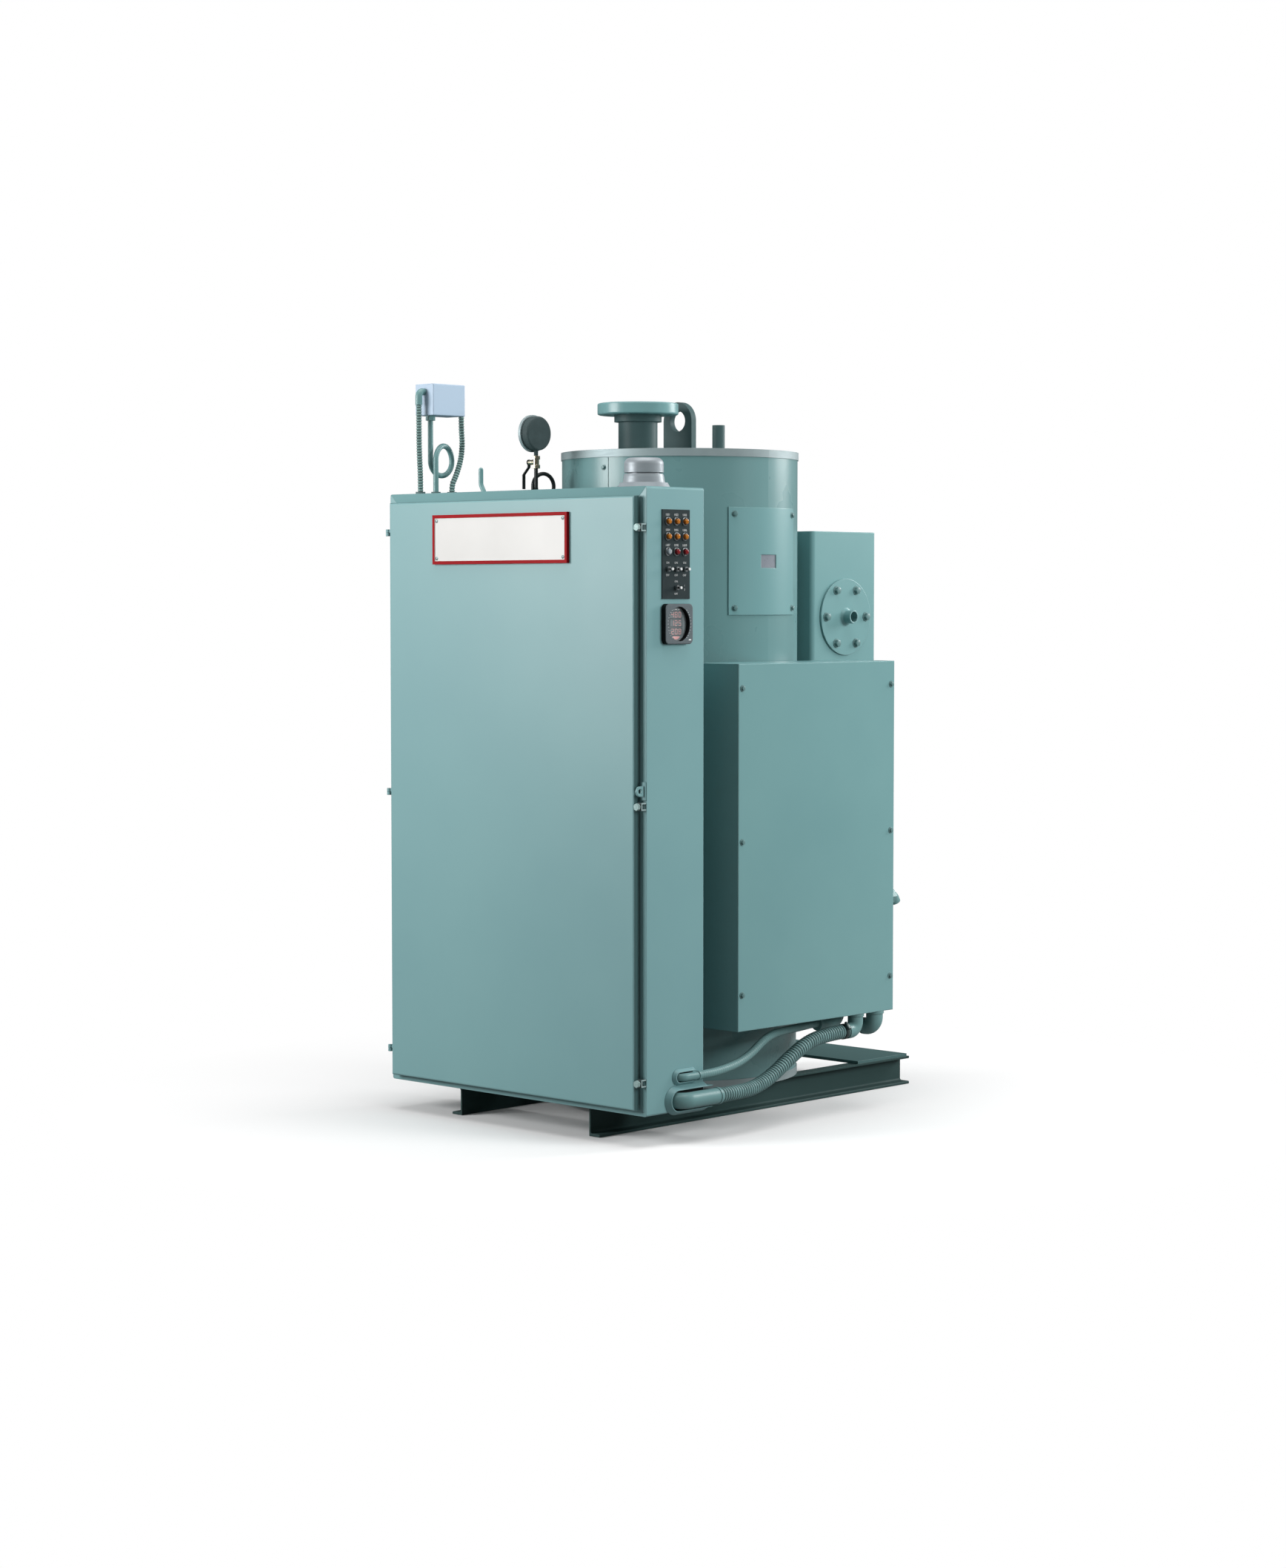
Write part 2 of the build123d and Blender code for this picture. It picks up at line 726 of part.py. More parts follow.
seal_top = roof + seal_height
control_pipe_x = control_right - control_pipe_side
control_pipe_y = control_y + control_pipe_front
control_pipe_top = control_bottom - hex_height
control_pipe = pigtail_lines(
    control_pipe_x, control_pipe_y, control_pipe_top, roof,
    roof + control_loop_lift, control_loop_radius, loop_shift,
)
export("control_siphon", swept_rod(pipe_radius, Wire(control_pipe)))
elbow_x = (control_left + control_right) / 2
elbow_z = control_top - flex_elbow_drop
elbow_y = control_y - flex_elbow_reach
elbow_end = elbow_z - flex_elbow_fall
elbow_path = FilletPolyline(
    (elbow_x, control_y, elbow_z), (elbow_x, elbow_y, elbow_z), (elbow_x, elbow_y, elbow_end),
    radius=flex_elbow_bend,
)
flex_elbow = swept_rod(flex_elbow_radius, elbow_path)
hex_fitting = hexagon_post(hex_across, control_pipe_x, control_pipe_y, control_pipe_top, control_bottom)
export("control_fittings", flex_elbow, hex_fitting)

# Flexible conduits of the control box
export("left_flex_conduit", route_tube("left_flex_conduit", left_flex_route, control_left, flex_radius))
export("right_flex_conduit", route_tube("right_flex_conduit", right_flex_route, control_left, flex_radius))

# Bent tube with a closed round end
tube_x = cabinet_right - tube_side
tube_top = (tube_x - tube_slant, cabinet_middle_y, roof + tube_height)
tube_path = FilletPolyline(
    (tube_x + tube_slant, cabinet_middle_y, roof - tube_slant_height),
    (tube_x - tube_slant, cabinet_middle_y, roof + tube_slant_height),
    tube_top,
    radius=tube_bend,
)
bent_tube = swept_rod(tube_radius, tube_path) + Pos(*tube_top) * Sphere(tube_radius)
bent_tube -= slab(
    (tube_x - tube_height, tube_x + tube_height),
    (cabinet_front, cabinet_back),
    (roof - tube_height, roof),
)
export("bent_tube", bent_tube)

# Pressure gauge, seen from its back
gauge_x = cabinet_right - gauge_side
gauge_y = cabinet_front + gauge_front
gauge_z = roof + gauge_lift
case_right = gauge_x + gauge_case_depth / 2
case_left = gauge_x - gauge_case_depth / 2
case = rod_along_x(gauge_radius - gauge_bezel_lip, case_left, case_right, gauge_y, gauge_z)
case = fillet(case.edges().group_by(Axis.X)[-1], gauge_back_edge)
cock_bottom = roof + cock_lift
cock_top = cock_bottom + cock_height
case += post(gauge_stem_radius, gauge_x, gauge_y, cock_top, gauge_z)
export("gauge_case", case)
bezel_front = case_left - gauge_bezel_depth / 2
bezel = rod_along_x(gauge_radius, bezel_front, bezel_front + gauge_bezel_depth, gauge_y, gauge_z)
bezel -= rod_along_x(
    gauge_radius - gauge_bezel_lip, case_left, case_left + gauge_bezel_depth, gauge_y, gauge_z
)
bezel -= rod_along_x(
    gauge_radius - 2 * gauge_bezel_lip, case_left - gauge_bezel_depth, case_left + overrun, gauge_y, gauge_z
)
export("gauge_bezel", bezel)

# Gauge cock, with the boss that its lever turns on
cock = post(cock_radius, gauge_x, gauge_y, cock_bottom, cock_top)
cock += hexagon_post(cock_hex_across, gauge_x, gauge_y, cock_bottom, cock_bottom + cock_end_height)
cock += hexagon_post(cock_hex_across, gauge_x, gauge_y, cock_top - cock_end_height, cock_top)
cock_z = (cock_bottom + cock_top) / 2
cock += rod_along_x(cock_boss_radius, gauge_x - cock_boss_reach, gauge_x, gauge_y, cock_z)
cock += rod_along_x(cock_stem_radius, gauge_x - cock_stem_reach, gauge_x, gauge_y, cock_z)
export("gauge_cock", cock)

# Lever of the cock: an eye round the stem and a cranked strip that hangs down
lever_right = gauge_x - cock_boss_reach - lever_gap
lever_left = lever_right - lever_thickness
lever_y = (gauge_y - lever_width / 2, gauge_y + lever_width / 2)
lever_knee = cock_z - lever_length * lever_knee_share
lever_bend = lever_knee - lever_crank
lever_end = cock_z - lever_length
lever = rod_along_x(lever_eye_radius, lever_left, lever_right, gauge_y, cock_z)
lever += slab((lever_left, lever_right), lever_y, (lever_knee, cock_z))
crank_points = [
    (lever_right, lever_knee), (lever_left, lever_knee),
    (lever_left - lever_crank, lever_bend), (lever_left - lever_crank, lever_end),
    (lever_right - lever_crank, lever_end), (lever_right - lever_crank, lever_bend),
]
crank_outline = Polyline(*[Vector(x, lever_y[0], z) for x, z in crank_points], close=True)
lever += extrude(make_face(crank_outline), lever_width, dir=(0, 1, 0))
lever_bore = cock_stem_radius + cock_running_gap
lever -= rod_along_x(lever_bore, lever_left - overrun, lever_right + overrun, gauge_y, cock_z)
export("cock_lever", lever)

# Pigtail of the gauge, behind the cabinet, down to a tap on the vessel
tap_x = gauge_x + gauge_loop_shift
tap_z = roof - gauge_tap_drop
bend_top = tap_z + gauge_tap_bend
bend_end = gauge_y + gauge_tap_bend
gauge_pipe = pigtail_lines(
    gauge_x, gauge_y, cock_bottom, bend_top,
    roof + gauge_loop_lift, gauge_loop_radius, gauge_loop_shift,
)
gauge_pipe.append(TangentArc((tap_x, gauge_y, bend_top), (tap_x, bend_end, tap_z), tangent=(0, 0, -1)))
gauge_pipe.append(Line((tap_x, bend_end, tap_z), (tap_x, vessel_y, tap_z)))
vessel_core = post(vessel_radius, vessel_x, vessel_y, skid_height, vessel_top_height)
export("gauge_siphon", swept_rod(gauge_pipe_radius, Wire(gauge_pipe)) - vessel_core)


# Seals where pipes and conduits pass through the roof
def roof_seal(x, y, radius):
    ring = post(radius + seal_flange, x, y, roof, seal_top)
    return ring - post(radius, x, y, roof - overrun, seal_top + overrun)


def roof_plug(x, y, radius):
    return post(radius + seal_flange, x, y, roof, seal_top)


def flex_end(route):
    x, y, _ = route[-1]
    return control_left + x, cabinet_front + y


export(
    "roof_seals",
    roof_seal(control_pipe_x + loop_shift, control_pipe_y, pipe_radius + weld_gap),
    roof_plug(*flex_end(left_flex_route), flex_radius),
    roof_plug(*flex_end(right_flex_route), flex_radius),
)

# Vessel jacket, heads and bright bands
jacket_bottom = skid_height + head_thickness
jacket_top = vessel_top_height - head_thickness
jacket = post(vessel_radius, vessel_x, vessel_y, jacket_bottom, jacket_top)
jacket_inside = vessel_radius - jacket_sheet
jacket -= post(jacket_inside, vessel_x, vessel_y, jacket_bottom - overrun, jacket_top + overrun)
export("vessel_jacket", jacket)
export("vessel_top", post(vessel_radius, vessel_x, vessel_y, jacket_top, vessel_top_height))
export("vessel_bottom", post(vessel_radius, vessel_x, vessel_y, skid_height, jacket_bottom))


def band(bottom):
    ring = post(vessel_radius + band_reach, vessel_x, vessel_y, bottom, bottom + band_height)
    top = bottom + band_height + overrun
    return ring - post(vessel_radius, vessel_x, vessel_y, bottom - overrun, top)


export("vessel_bands", band(skid_height), band(vessel_top_height - band_height))

# Outlet pipe with a drilled flange
outlet_y = vessel_y - outlet_forward
outlet_top = vessel_top_height + outlet_lift
flange_bottom = outlet_top - outlet_flange_thickness
hub_bottom = flange_bottom - outlet_hub_height
neck = post(outlet_radius, vessel_x, outlet_y, vessel_top_height, outlet_top - outlet_face_step)
neck += post(outlet_hub_radius, vessel_x, outlet_y, hub_bottom, flange_bottom)
neck -= post(outlet_bore_radius, vessel_x, outlet_y, vessel_top_height, outlet_top + overrun)
export("outlet_neck", neck)
flange = post(outlet_flange_radius, vessel_x, outlet_y, flange_bottom, outlet_top - outlet_face_step)
flange = fillet(flange.edges().filter_by(GeomType.CIRCLE), outlet_rim_radius)
flange += post(outlet_face_radius, vessel_x, outlet_y, flange_bottom, outlet_top)
flange -= post(outlet_radius, vessel_x, outlet_y, flange_bottom - overrun, outlet_top + overrun)
first_angle = 180 / outlet_bolt_count
bolt_circle = PolarLocations(outlet_bolt_circle_radius, outlet_bolt_count, start_angle=first_angle)
hole = Cylinder(outlet_bolt_hole_radius, outlet_flange_thickness + 2 * overrun)
for spot in bolt_circle:
    flange -= Pos(vessel_x, outlet_y, flange_bottom + outlet_flange_thickness / 2) * spot * hole
export("outlet_flange", flange)

# Lifting lug
lug_front = vessel_y - lug_thickness / 2
lug_hole_height = vessel_top_height + lug_hole_lift
lug = slab(
    (vessel_x - lug_width / 2, vessel_x + lug_width / 2),
    (lug_front, lug_front + lug_thickness),
    (vessel_top_height, lug_hole_height),
)
lug += rod_along_y(lug_width / 2, vessel_x, lug_front, lug_front + lug_thickness, lug_hole_height)
lug_back = lug_front + lug_thickness
lug -= rod_along_y(lug_hole_radius, vessel_x, lug_front - overrun, lug_back + overrun, lug_hole_height)
export("lifting_lug", lug)

# Return stub
stub_top = vessel_top_height + stub_lift
stub = post(stub_radius, vessel_x, vessel_y + stub_back, vessel_top_height, stub_top)
stub -= post(stub_bore_radius, vessel_x, vessel_y + stub_back, vessel_top_height, stub_top + overrun)
export("return_stub", stub)

# Curved access cover, bent to the jacket, with a small window
cover_bottom = vessel_top_height - cover_drop - cover_height
cover_top = cover_bottom + cover_height
cover_ring = post(vessel_radius + cover_thickness, vessel_x, vessel_y, cover_bottom, cover_top)
cover_ring -= post(vessel_radius, vessel_x, vessel_y, cover_bottom - overrun, cover_top + overrun)
wedge_reach = 2 * vessel_radius
wedge_half = wedge_reach * tan(radians(cover_angle / 2))
wedge_corners = [(0, 0, 0), (wedge_reach, -wedge_half, 0), (wedge_reach, wedge_half, 0)]
wedge = make_face(Polyline(*wedge_corners, close=True))
wedge_block = extrude(wedge, cover_height + 2 * overrun, dir=(0, 0, 1))
cover_turned = Pos(vessel_x, vessel_y, cover_bottom - overrun) * Rot(0, 0, cover_turn)
access_cover = cover_ring & (cover_turned * wedge_block)
window_x = vessel_radius + cover_thickness / 2
window_block = Box(vessel_radius, cover_window_width, cover_window_height)
window = Pos(window_x, 0, cover_height / 2 + overrun) * window_block
export("access_cover", access_cover - cover_turned * window)

# Heater terminal box on its nozzle
box_right = cabinet_right + box_reach
box_back = vessel_x + vessel_radius + box_back_gap
box_y = (vessel_y - box_width / 2, vessel_y + box_width / 2)
box_z = (box_bottom, box_bottom + box_height)
box_seam = box_right - box_cover_depth
box_mid_z = box_bottom + box_height / 2
nozzle = rod_along_x(heater_nozzle_radius, vessel_x, box_back, vessel_y, box_mid_z) - vessel_core
export("heater_nozzle", nozzle)
export("heater_box", slab((box_back, box_seam), box_y, box_z))
box_cover = slab((box_seam, box_right), box_y, box_z)
box_cover = fillet(box_cover.faces().sort_by(Axis.X)[-1].edges(), box_edge)
export("heater_box_cover", box_cover)


# Conduit elbows under and behind the terminal box
ring_bottom = box_bottom - entry_ring_height


def entry_elbow(x, start_back, y, z, radius):
    start_y = cabinet_front + start_back
    bend = radius * entry_bend_share
    path = FilletPolyline((x, start_y, z), (x, y, z), (x, y, box_bottom), radius=bend)
    return swept_rod(radius, path) + post(radius + entry_ring_reach, x, y, ring_bottom, box_bottom)


large_entry_y = cabinet_front + large_entry_back
small_entry_y = cabinet_front + small_entry_back
small_entry_x = cabinet_right - small_entry_side
spare_y = cabinet_front + spare_entry_back
spare_path = FilletPolyline(
    (cabinet_right - spare_entry_reach, spare_y, large_entry_height),
    (cabinet_right, spare_y, large_entry_height),
    (cabinet_right, spare_y, box_bottom),
    radius=spare_radius * entry_bend_share,
)
spare = swept_rod(spare_radius, spare_path)
spare += post(spare_radius + entry_ring_reach, cabinet_right, spare_y, ring_bottom, box_bottom)
rear_x = box_right - rear_fitting_inset
rear_y = box_y[1]
nut_plane = Plane((rear_x, rear_y, rear_fitting_height), x_dir=(1, 0, 0), z_dir=(0, 1, 0))
rear_nut = nut_plane * RegularPolygon(rear_nut_across / 2, 6, major_radius=False)
rear_path = FilletPolyline(
    (rear_x, rear_y, rear_fitting_height),
    (rear_x, rear_y + rear_tube_run, rear_fitting_height),
    (rear_x, rear_y + rear_tube_run + rear_tube_back, rear_fitting_height - rear_tube_fall),
    radius=rear_tube_bend,
)
rear_fitting = extrude(rear_nut, rear_nut_reach) + swept_rod(rear_tube_radius, rear_path)
export(
    "box_fittings",
    entry_elbow(
        cabinet_right, large_entry_elbow_start, large_entry_y, large_entry_height, large_elbow_radius
    ),
    entry_elbow(
        small_entry_x, small_entry_elbow_start, small_entry_y, small_entry_height, small_entry_radius
    ),
    spare,
    rear_fitting,
)


# Conduit elbows on the cabinet side, each with a ring at its end
def side_elbow(outlet_back, end_back, z, offset, bend, radius):
    start_y = cabinet_front + outlet_back
    end_y = cabinet_front + end_back
    x = cabinet_right + offset
    path = FilletPolyline((cabinet_right, start_y, z), (x, start_y, z), (x, end_y, z), radius=bend)
    elbow = swept_rod(radius, path)
    return elbow + rod_along_y(radius + elbow_ring_reach, x, end_y - elbow_ring_length, end_y, z)


# Hoods round the elbows: a slot-shaped collar that flares to the cabinet and is open at the back
def slot_outline(radius, start_y, end_y, z, x):
    plane = Plane((x, start_y, z), x_dir=(0, 1, 0), z_dir=(1, 0, 0))
    length = end_y - start_y
    return plane * (Circle(radius) + Pos(length / 2, 0) * Rectangle(length, 2 * radius))


def side_hood(outlet_back, end_back, z, radius, depth, flare):
    start_y = cabinet_front + outlet_back
    end_y = cabinet_front + end_back - elbow_ring_length - hood_ring_gap
    flare_end = min(end_y, cabinet_back)
    top_x = cabinet_right + depth
    foot = slot_outline(radius + flare, start_y, flare_end, z, cabinet_right)
    rim = slot_outline(radius, start_y, flare_end, z, top_x)
    hood = loft([foot.face(), rim.face()])
    hood += extrude(slot_outline(radius, start_y, end_y, z, cabinet_right), depth)
    pocket_start = cabinet_right - overrun
    pocket = slot_outline(radius - hood_wall, start_y, end_y + overrun, z, pocket_start)
    return hood - extrude(pocket, depth + 2 * overrun)


export(
    "conduit_elbows",
    side_elbow(
        large_outlet_back, large_elbow_end, large_outlet_height,
        large_hose_offset, large_elbow_bend, large_elbow_radius,
    ),
    side_elbow(
        small_outlet_back, small_elbow_end, small_outlet_height,
        small_hose_offset, small_elbow_bend, small_elbow_radius,
    ),
)
export(
    "conduit_hoods",
    side_hood(
        large_outlet_back, large_elbow_end, large_outlet_height,
        large_hood_radius, large_hood_depth, large_hood_flare,
    ),
    side_hood(
        small_outlet_back, small_elbow_end, small_outlet_height,
        small_hood_radius, small_hood_depth, small_hood_flare,
    ),
)

# Power hoses between the cabinet and the terminal box
large_hose = route_tube("large_power_hose", large_hose_route, cabinet_right, large_hose_radius)
export("large_power_hose", large_hose)
small_hose = route_tube("small_power_hose", small_hose_route, cabinet_right, small_hose_radius)
export("small_power_hose", small_hose)

# Rear junction box, its nozzle and its round port
rear_front = vessel_y + vessel_radius + rear_box_gap
rear_box_bottom = vessel_top_height - rear_box_drop - rear_box_height
rear_back = rear_front + rear_box_depth
rear_right = vessel_x + rear_box_width / 2
rear_z = (rear_box_bottom, rear_box_bottom + rear_box_height)
rear_mid_z = rear_box_bottom + rear_box_height / 2
rear_mid_y = (rear_front + rear_back) / 2
rear_box = slab((vessel_x - rear_box_width / 2, rear_right), (rear_front, rear_back), rear_z)
rear_box = fillet(rear_box.edges().filter_by(Axis.Z), rear_box_corner)
rear_rims = rear_box.edges().group_by(Axis.Z)
export("rear_box", fillet(rear_rims[0] + rear_rims[-1], box_edge))
rear_nozzle = rod_along_y(rear_nozzle_radius, vessel_x, vessel_y, rear_front, rear_mid_z)
export("rear_nozzle", rear_nozzle - vessel_core)
port = rod_along_x(port_radius, rear_right, rear_right + port_thickness, rear_mid_y, rear_mid_z)
port_face = rear_right + port_thickness
weld = Cone(port_nipple_radius + port_weld_reach, port_nipple_radius, port_weld_reach)
port += Pos(port_face + port_weld_reach / 2, rear_mid_y, rear_mid_z) * Rot(0, 90, 0) * weld
nipple_end = port_face + port_nipple_length
port += rod_along_x(port_nipple_radius, rear_right, nipple_end, rear_mid_y, rear_mid_z)
port -= rod_along_x(port_nipple_bore_radius, port_face, nipple_end + overrun, rear_mid_y, rear_mid_z)
export("port_plate", port)
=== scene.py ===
# %% [markdown]
# # An electric boiler on a steel skid
# The boiler is an upright vessel in a sheet jacket, with a control cabinet in front, a terminal box on its
# right and flexible conduits between them. The CAD frame already holds the sizes, so nothing here moves it.
# This lesson adds what the solids leave out: conduits, paint, screws, marks and light.

# %% Load the frame
from math import cos, pi, radians, sin

import bmesh
import bpy
from mathutils import Matrix, Vector


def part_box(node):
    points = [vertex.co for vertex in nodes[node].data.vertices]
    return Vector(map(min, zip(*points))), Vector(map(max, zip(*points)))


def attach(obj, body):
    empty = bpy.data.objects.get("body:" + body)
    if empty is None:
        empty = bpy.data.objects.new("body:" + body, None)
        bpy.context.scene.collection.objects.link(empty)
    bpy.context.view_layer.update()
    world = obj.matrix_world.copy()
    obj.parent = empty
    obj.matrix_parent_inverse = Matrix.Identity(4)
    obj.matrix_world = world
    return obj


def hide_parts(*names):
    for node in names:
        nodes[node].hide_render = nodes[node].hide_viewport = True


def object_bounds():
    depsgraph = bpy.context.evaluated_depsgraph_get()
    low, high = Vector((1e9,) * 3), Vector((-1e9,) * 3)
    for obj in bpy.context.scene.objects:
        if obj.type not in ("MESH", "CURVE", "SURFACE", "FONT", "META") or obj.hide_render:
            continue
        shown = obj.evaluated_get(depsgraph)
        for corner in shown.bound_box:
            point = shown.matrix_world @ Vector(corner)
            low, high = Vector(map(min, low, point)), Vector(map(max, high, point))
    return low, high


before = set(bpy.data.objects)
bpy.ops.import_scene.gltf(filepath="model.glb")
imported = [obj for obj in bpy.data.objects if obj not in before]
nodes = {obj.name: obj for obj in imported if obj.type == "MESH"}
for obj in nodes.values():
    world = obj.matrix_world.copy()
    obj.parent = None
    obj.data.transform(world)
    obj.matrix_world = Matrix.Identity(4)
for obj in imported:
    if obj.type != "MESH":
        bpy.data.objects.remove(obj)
scene = bpy.context.scene
cad_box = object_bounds()
box_corners = [tuple(round(value, 3) for value in corner) for corner in cad_box]
print("loaded", len(nodes), "CAD nodes, box", box_corners)

# %% [markdown]
# ## Camera
# The photo was taken from the front right, a little above the middle of the cabinet. A camera could be set
# by eye, but one worked out from the cabinet's straight edges puts every piece on its own pixels. Its
# place is kept as an offset from the cabinet's lower front right corner.

# %% Place the camera
side_low, side_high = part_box("cabinet_right_side")
cabinet_corner = Vector((side_high.x, side_low.y, 0.0))
camera_offset = Vector((5.2310, -5.5246, 1.3250))
camera_yaw = radians(43.50)
camera_pitch = radians(3.31)
camera_data = bpy.data.cameras.new("photo_camera")
camera_data.sensor_fit = "HORIZONTAL"
camera_data.sensor_width = 36.0
camera_data.lens = 88.59
camera = bpy.data.objects.new("photo_camera", camera_data)
camera.location = cabinet_corner + camera_offset
camera.rotation_euler = (pi / 2 - camera_pitch, 0.0, camera_yaw)
scene.collection.objects.link(camera)
scene.camera = camera
print("camera at", tuple(round(value, 3) for value in camera.location))

# %% [markdown]
# ## Node helpers for finishes
# Every finish here is a node tree on Object coordinates, because the pattern then stays on the piece when
# it moves. A few small helpers keep the trees readable: one per kind of node, each returning its output,
# and one that fills in the shader. Noise lies mostly in the middle of its range, so one helper spreads it.

# %% Helpers that add shader nodes
noise_low, noise_high = 0.3, 0.7


def linear(share):
    return share / 12.92 if share < 0.04045 else ((share + 0.055) / 1.055) ** 2.4


def srgb(red, green, blue):
    return tuple(linear(value / 255) for value in (red, green, blue)) + (1.0,)


def new_finish(name):
    finish = bpy.data.materials.new(name)
    finish.use_nodes = True
    tree = finish.node_tree
    place = tree.nodes.new("ShaderNodeTexCoord").outputs["Object"]
    return finish, tree, tree.nodes["Principled BSDF"], place


def set_input(tree, socket, value):
    if isinstance(value, bpy.types.NodeSocket):
        tree.links.new(value, socket)
    else:
        socket.default_value = value


def fill_in(tree, shader, values):
    for name, value in values.items():
        set_input(tree, shader.inputs[name], value)


def split(tree, vector):
    node = tree.nodes.new("ShaderNodeSeparateXYZ")
    tree.links.new(vector, node.inputs[0])
    return node.outputs


def normal_axes(tree):
    return split(tree, tree.nodes.new("ShaderNodeTexCoord").outputs["Normal"])


def stretched(tree, place, scale):
    mapping = tree.nodes.new("ShaderNodeMapping")
    tree.links.new(place, mapping.inputs["Vector"])
    mapping.inputs["Scale"].default_value = scale
    return mapping.outputs["Vector"]


def noise(tree, place, scale, detail=2.0):
    texture = tree.nodes.new("ShaderNodeTexNoise")
    tree.links.new(place, texture.inputs["Vector"])
    texture.inputs["Scale"].default_value = scale
    texture.inputs["Detail"].default_value = detail
    return texture.outputs[0]


def remap(tree, value, low, high, to_low, to_high):
    node = tree.nodes.new("ShaderNodeMapRange")
    for socket, number in zip(node.inputs, (value, low, high, to_low, to_high)):
        set_input(tree, socket, number)
    return node.outputs["Result"]


def spread(tree, value, low=0.0, high=1.0):
    return remap(tree, value, noise_low, noise_high, low, high)


def blend_colour(tree, share, first, second):
    node = tree.nodes.new("ShaderNodeMix")
    node.data_type = "RGBA"
    for index, value in ((0, share), (6, first), (7, second)):
        set_input(tree, node.inputs[index], value)
    return node.outputs[2]


def maths(tree, operation, first, second):
    node = tree.nodes.new("ShaderNodeMath")
    node.operation = operation
    set_input(tree, node.inputs[0], first)
    set_input(tree, node.inputs[1], second)
    return node.outputs[0]


def bump(tree, height, strength, distance, normal=None):
    node = tree.nodes.new("ShaderNodeBump")
    node.inputs["Strength"].default_value = strength
    node.inputs["Distance"].default_value = distance
    tree.links.new(height, node.inputs["Height"])
    if normal is not None:
        tree.links.new(normal, node.inputs["Normal"])
    return node.outputs["Normal"]


# %% [markdown]
# ## Soft edges
# Folded sheet never has a razor edge. Bevelling every solid would change the frame, so the Bevel shader
# node rounds the shading instead, and the angle between its normal and the true one marks the edges,
# where paint wears thin; the paler colour put there is partly wear and partly a painted highlight.

# %% Helpers that round a piece's edges and find them
flat_turn, edge_turn = 0.995, 0.80


def soft_normal(tree, radius):
    node = tree.nodes.new("ShaderNodeBevel")
    node.samples = 4
    node.inputs["Radius"].default_value = radius
    return node.outputs["Normal"]


def edge_share(tree, normal, most):
    turn = tree.nodes.new("ShaderNodeVectorMath")
    turn.operation = "DOT_PRODUCT"
    tree.links.new(normal, turn.inputs[0])
    tree.links.new(tree.nodes.new("ShaderNodeNewGeometry").outputs["Normal"], turn.inputs[1])
    return remap(tree, turn.outputs["Value"], flat_turn, edge_turn, 0.0, most)


# %% [markdown]
# ## Enamel
# The whole boiler wears one blue-green machine enamel, sprayed on. Sprayed paint has a fine orange peel,
# broad faint clouds where the coat is thicker, and a paler line along the folds, partly wear and partly a
# painted highlight. A plain colour would look like plastic, so noise at several scales drives the colour,
# the roughness and the bump. The door's folded returns are painted darker as painted shade, so its finish
# also asks which way a face looks.

# %% Enamel finishes
cloud_scale, patch_scale, gloss_scale, peel_scale = 1.7, 22.0, 9.0, 160.0
gloss_swing = 0.012


def enamel(name, tones, roughness=0.38, edge_radius=0.003, shine=0.42, fold_shade_tone=None):
    finish, tree, shader, place = new_finish(name)
    colour, cloud_colour, wear_and_highlight_colour = (srgb(*tone) for tone in tones)
    clouds = remap(tree, noise(tree, place, cloud_scale, 4.0), 0.35, 0.65, 0.0, 1.0)
    coat = blend_colour(tree, clouds, colour, cloud_colour)
    if fold_shade_tone is not None:
        # Faces that don't look to the front or back take the fold shade tone: painted shade on the door's
        # returns.
        front = normal_axes(tree)[1]
        fold_shade = remap(tree, maths(tree, "MULTIPLY", front, front), 0.12, 0.56, 1.0, 0.0)
        coat = blend_colour(tree, fold_shade, coat, srgb(*fold_shade_tone))
    normal = soft_normal(tree, edge_radius)
    patches = spread(tree, noise(tree, place, patch_scale, 3.0), 0.25, 0.8)
    gloss = noise(tree, place, gloss_scale, 3.0)
    # The paler colour on the edges is partly wear and partly a painted highlight.
    fill_in(tree, shader, {
        "Base Color": blend_colour(tree, edge_share(tree, normal, patches), coat, wear_and_highlight_colour),
        "Roughness": spread(tree, gloss, roughness - gloss_swing, roughness + gloss_swing),
        "Normal": bump(tree, noise(tree, place, peel_scale), 0.04, 0.0006, normal),
        "Specular IOR Level": shine,
    })
    return finish


cabinet_tones = ((121, 162, 164), (116, 157, 160), (152, 184, 186))
cabinet_enamel = enamel("cabinet_enamel", cabinet_tones)
door_enamel = enamel("door_enamel", cabinet_tones, fold_shade_tone=(66, 94, 95))
roof_enamel = enamel("roof_enamel", ((116, 156, 158), (110, 150, 152), (140, 174, 176)), 0.62, shine=0.1)
vessel_enamel = enamel("vessel_enamel", ((114, 155, 156), (108, 149, 151), (150, 182, 183)), 0.30)
# The jacket's enamel is a darker copy of the vessel's enamel: painted shade.
jacket_shade_enamel = enamel("jacket_shade_enamel", ((105, 142, 143), (101, 138, 139), (146, 178, 179)), 0.28)
# The rear plate and the skid channels take darker copies of the enamel: painted shade under the boiler.
deck_shade_enamel = enamel("deck_shade_enamel", ((78, 108, 108), (70, 99, 99), (116, 146, 145)), 0.50, 0.002, 0.2)
skid_enamel = enamel("skid_enamel", ((56, 77, 76), (49, 69, 68), (74, 98, 96)), 0.55, 0.002, 0.14)
pipe_enamel = enamel("pipe_enamel", ((109, 147, 147), (101, 138, 139), (146, 177, 176)), 0.36, 0.0015)
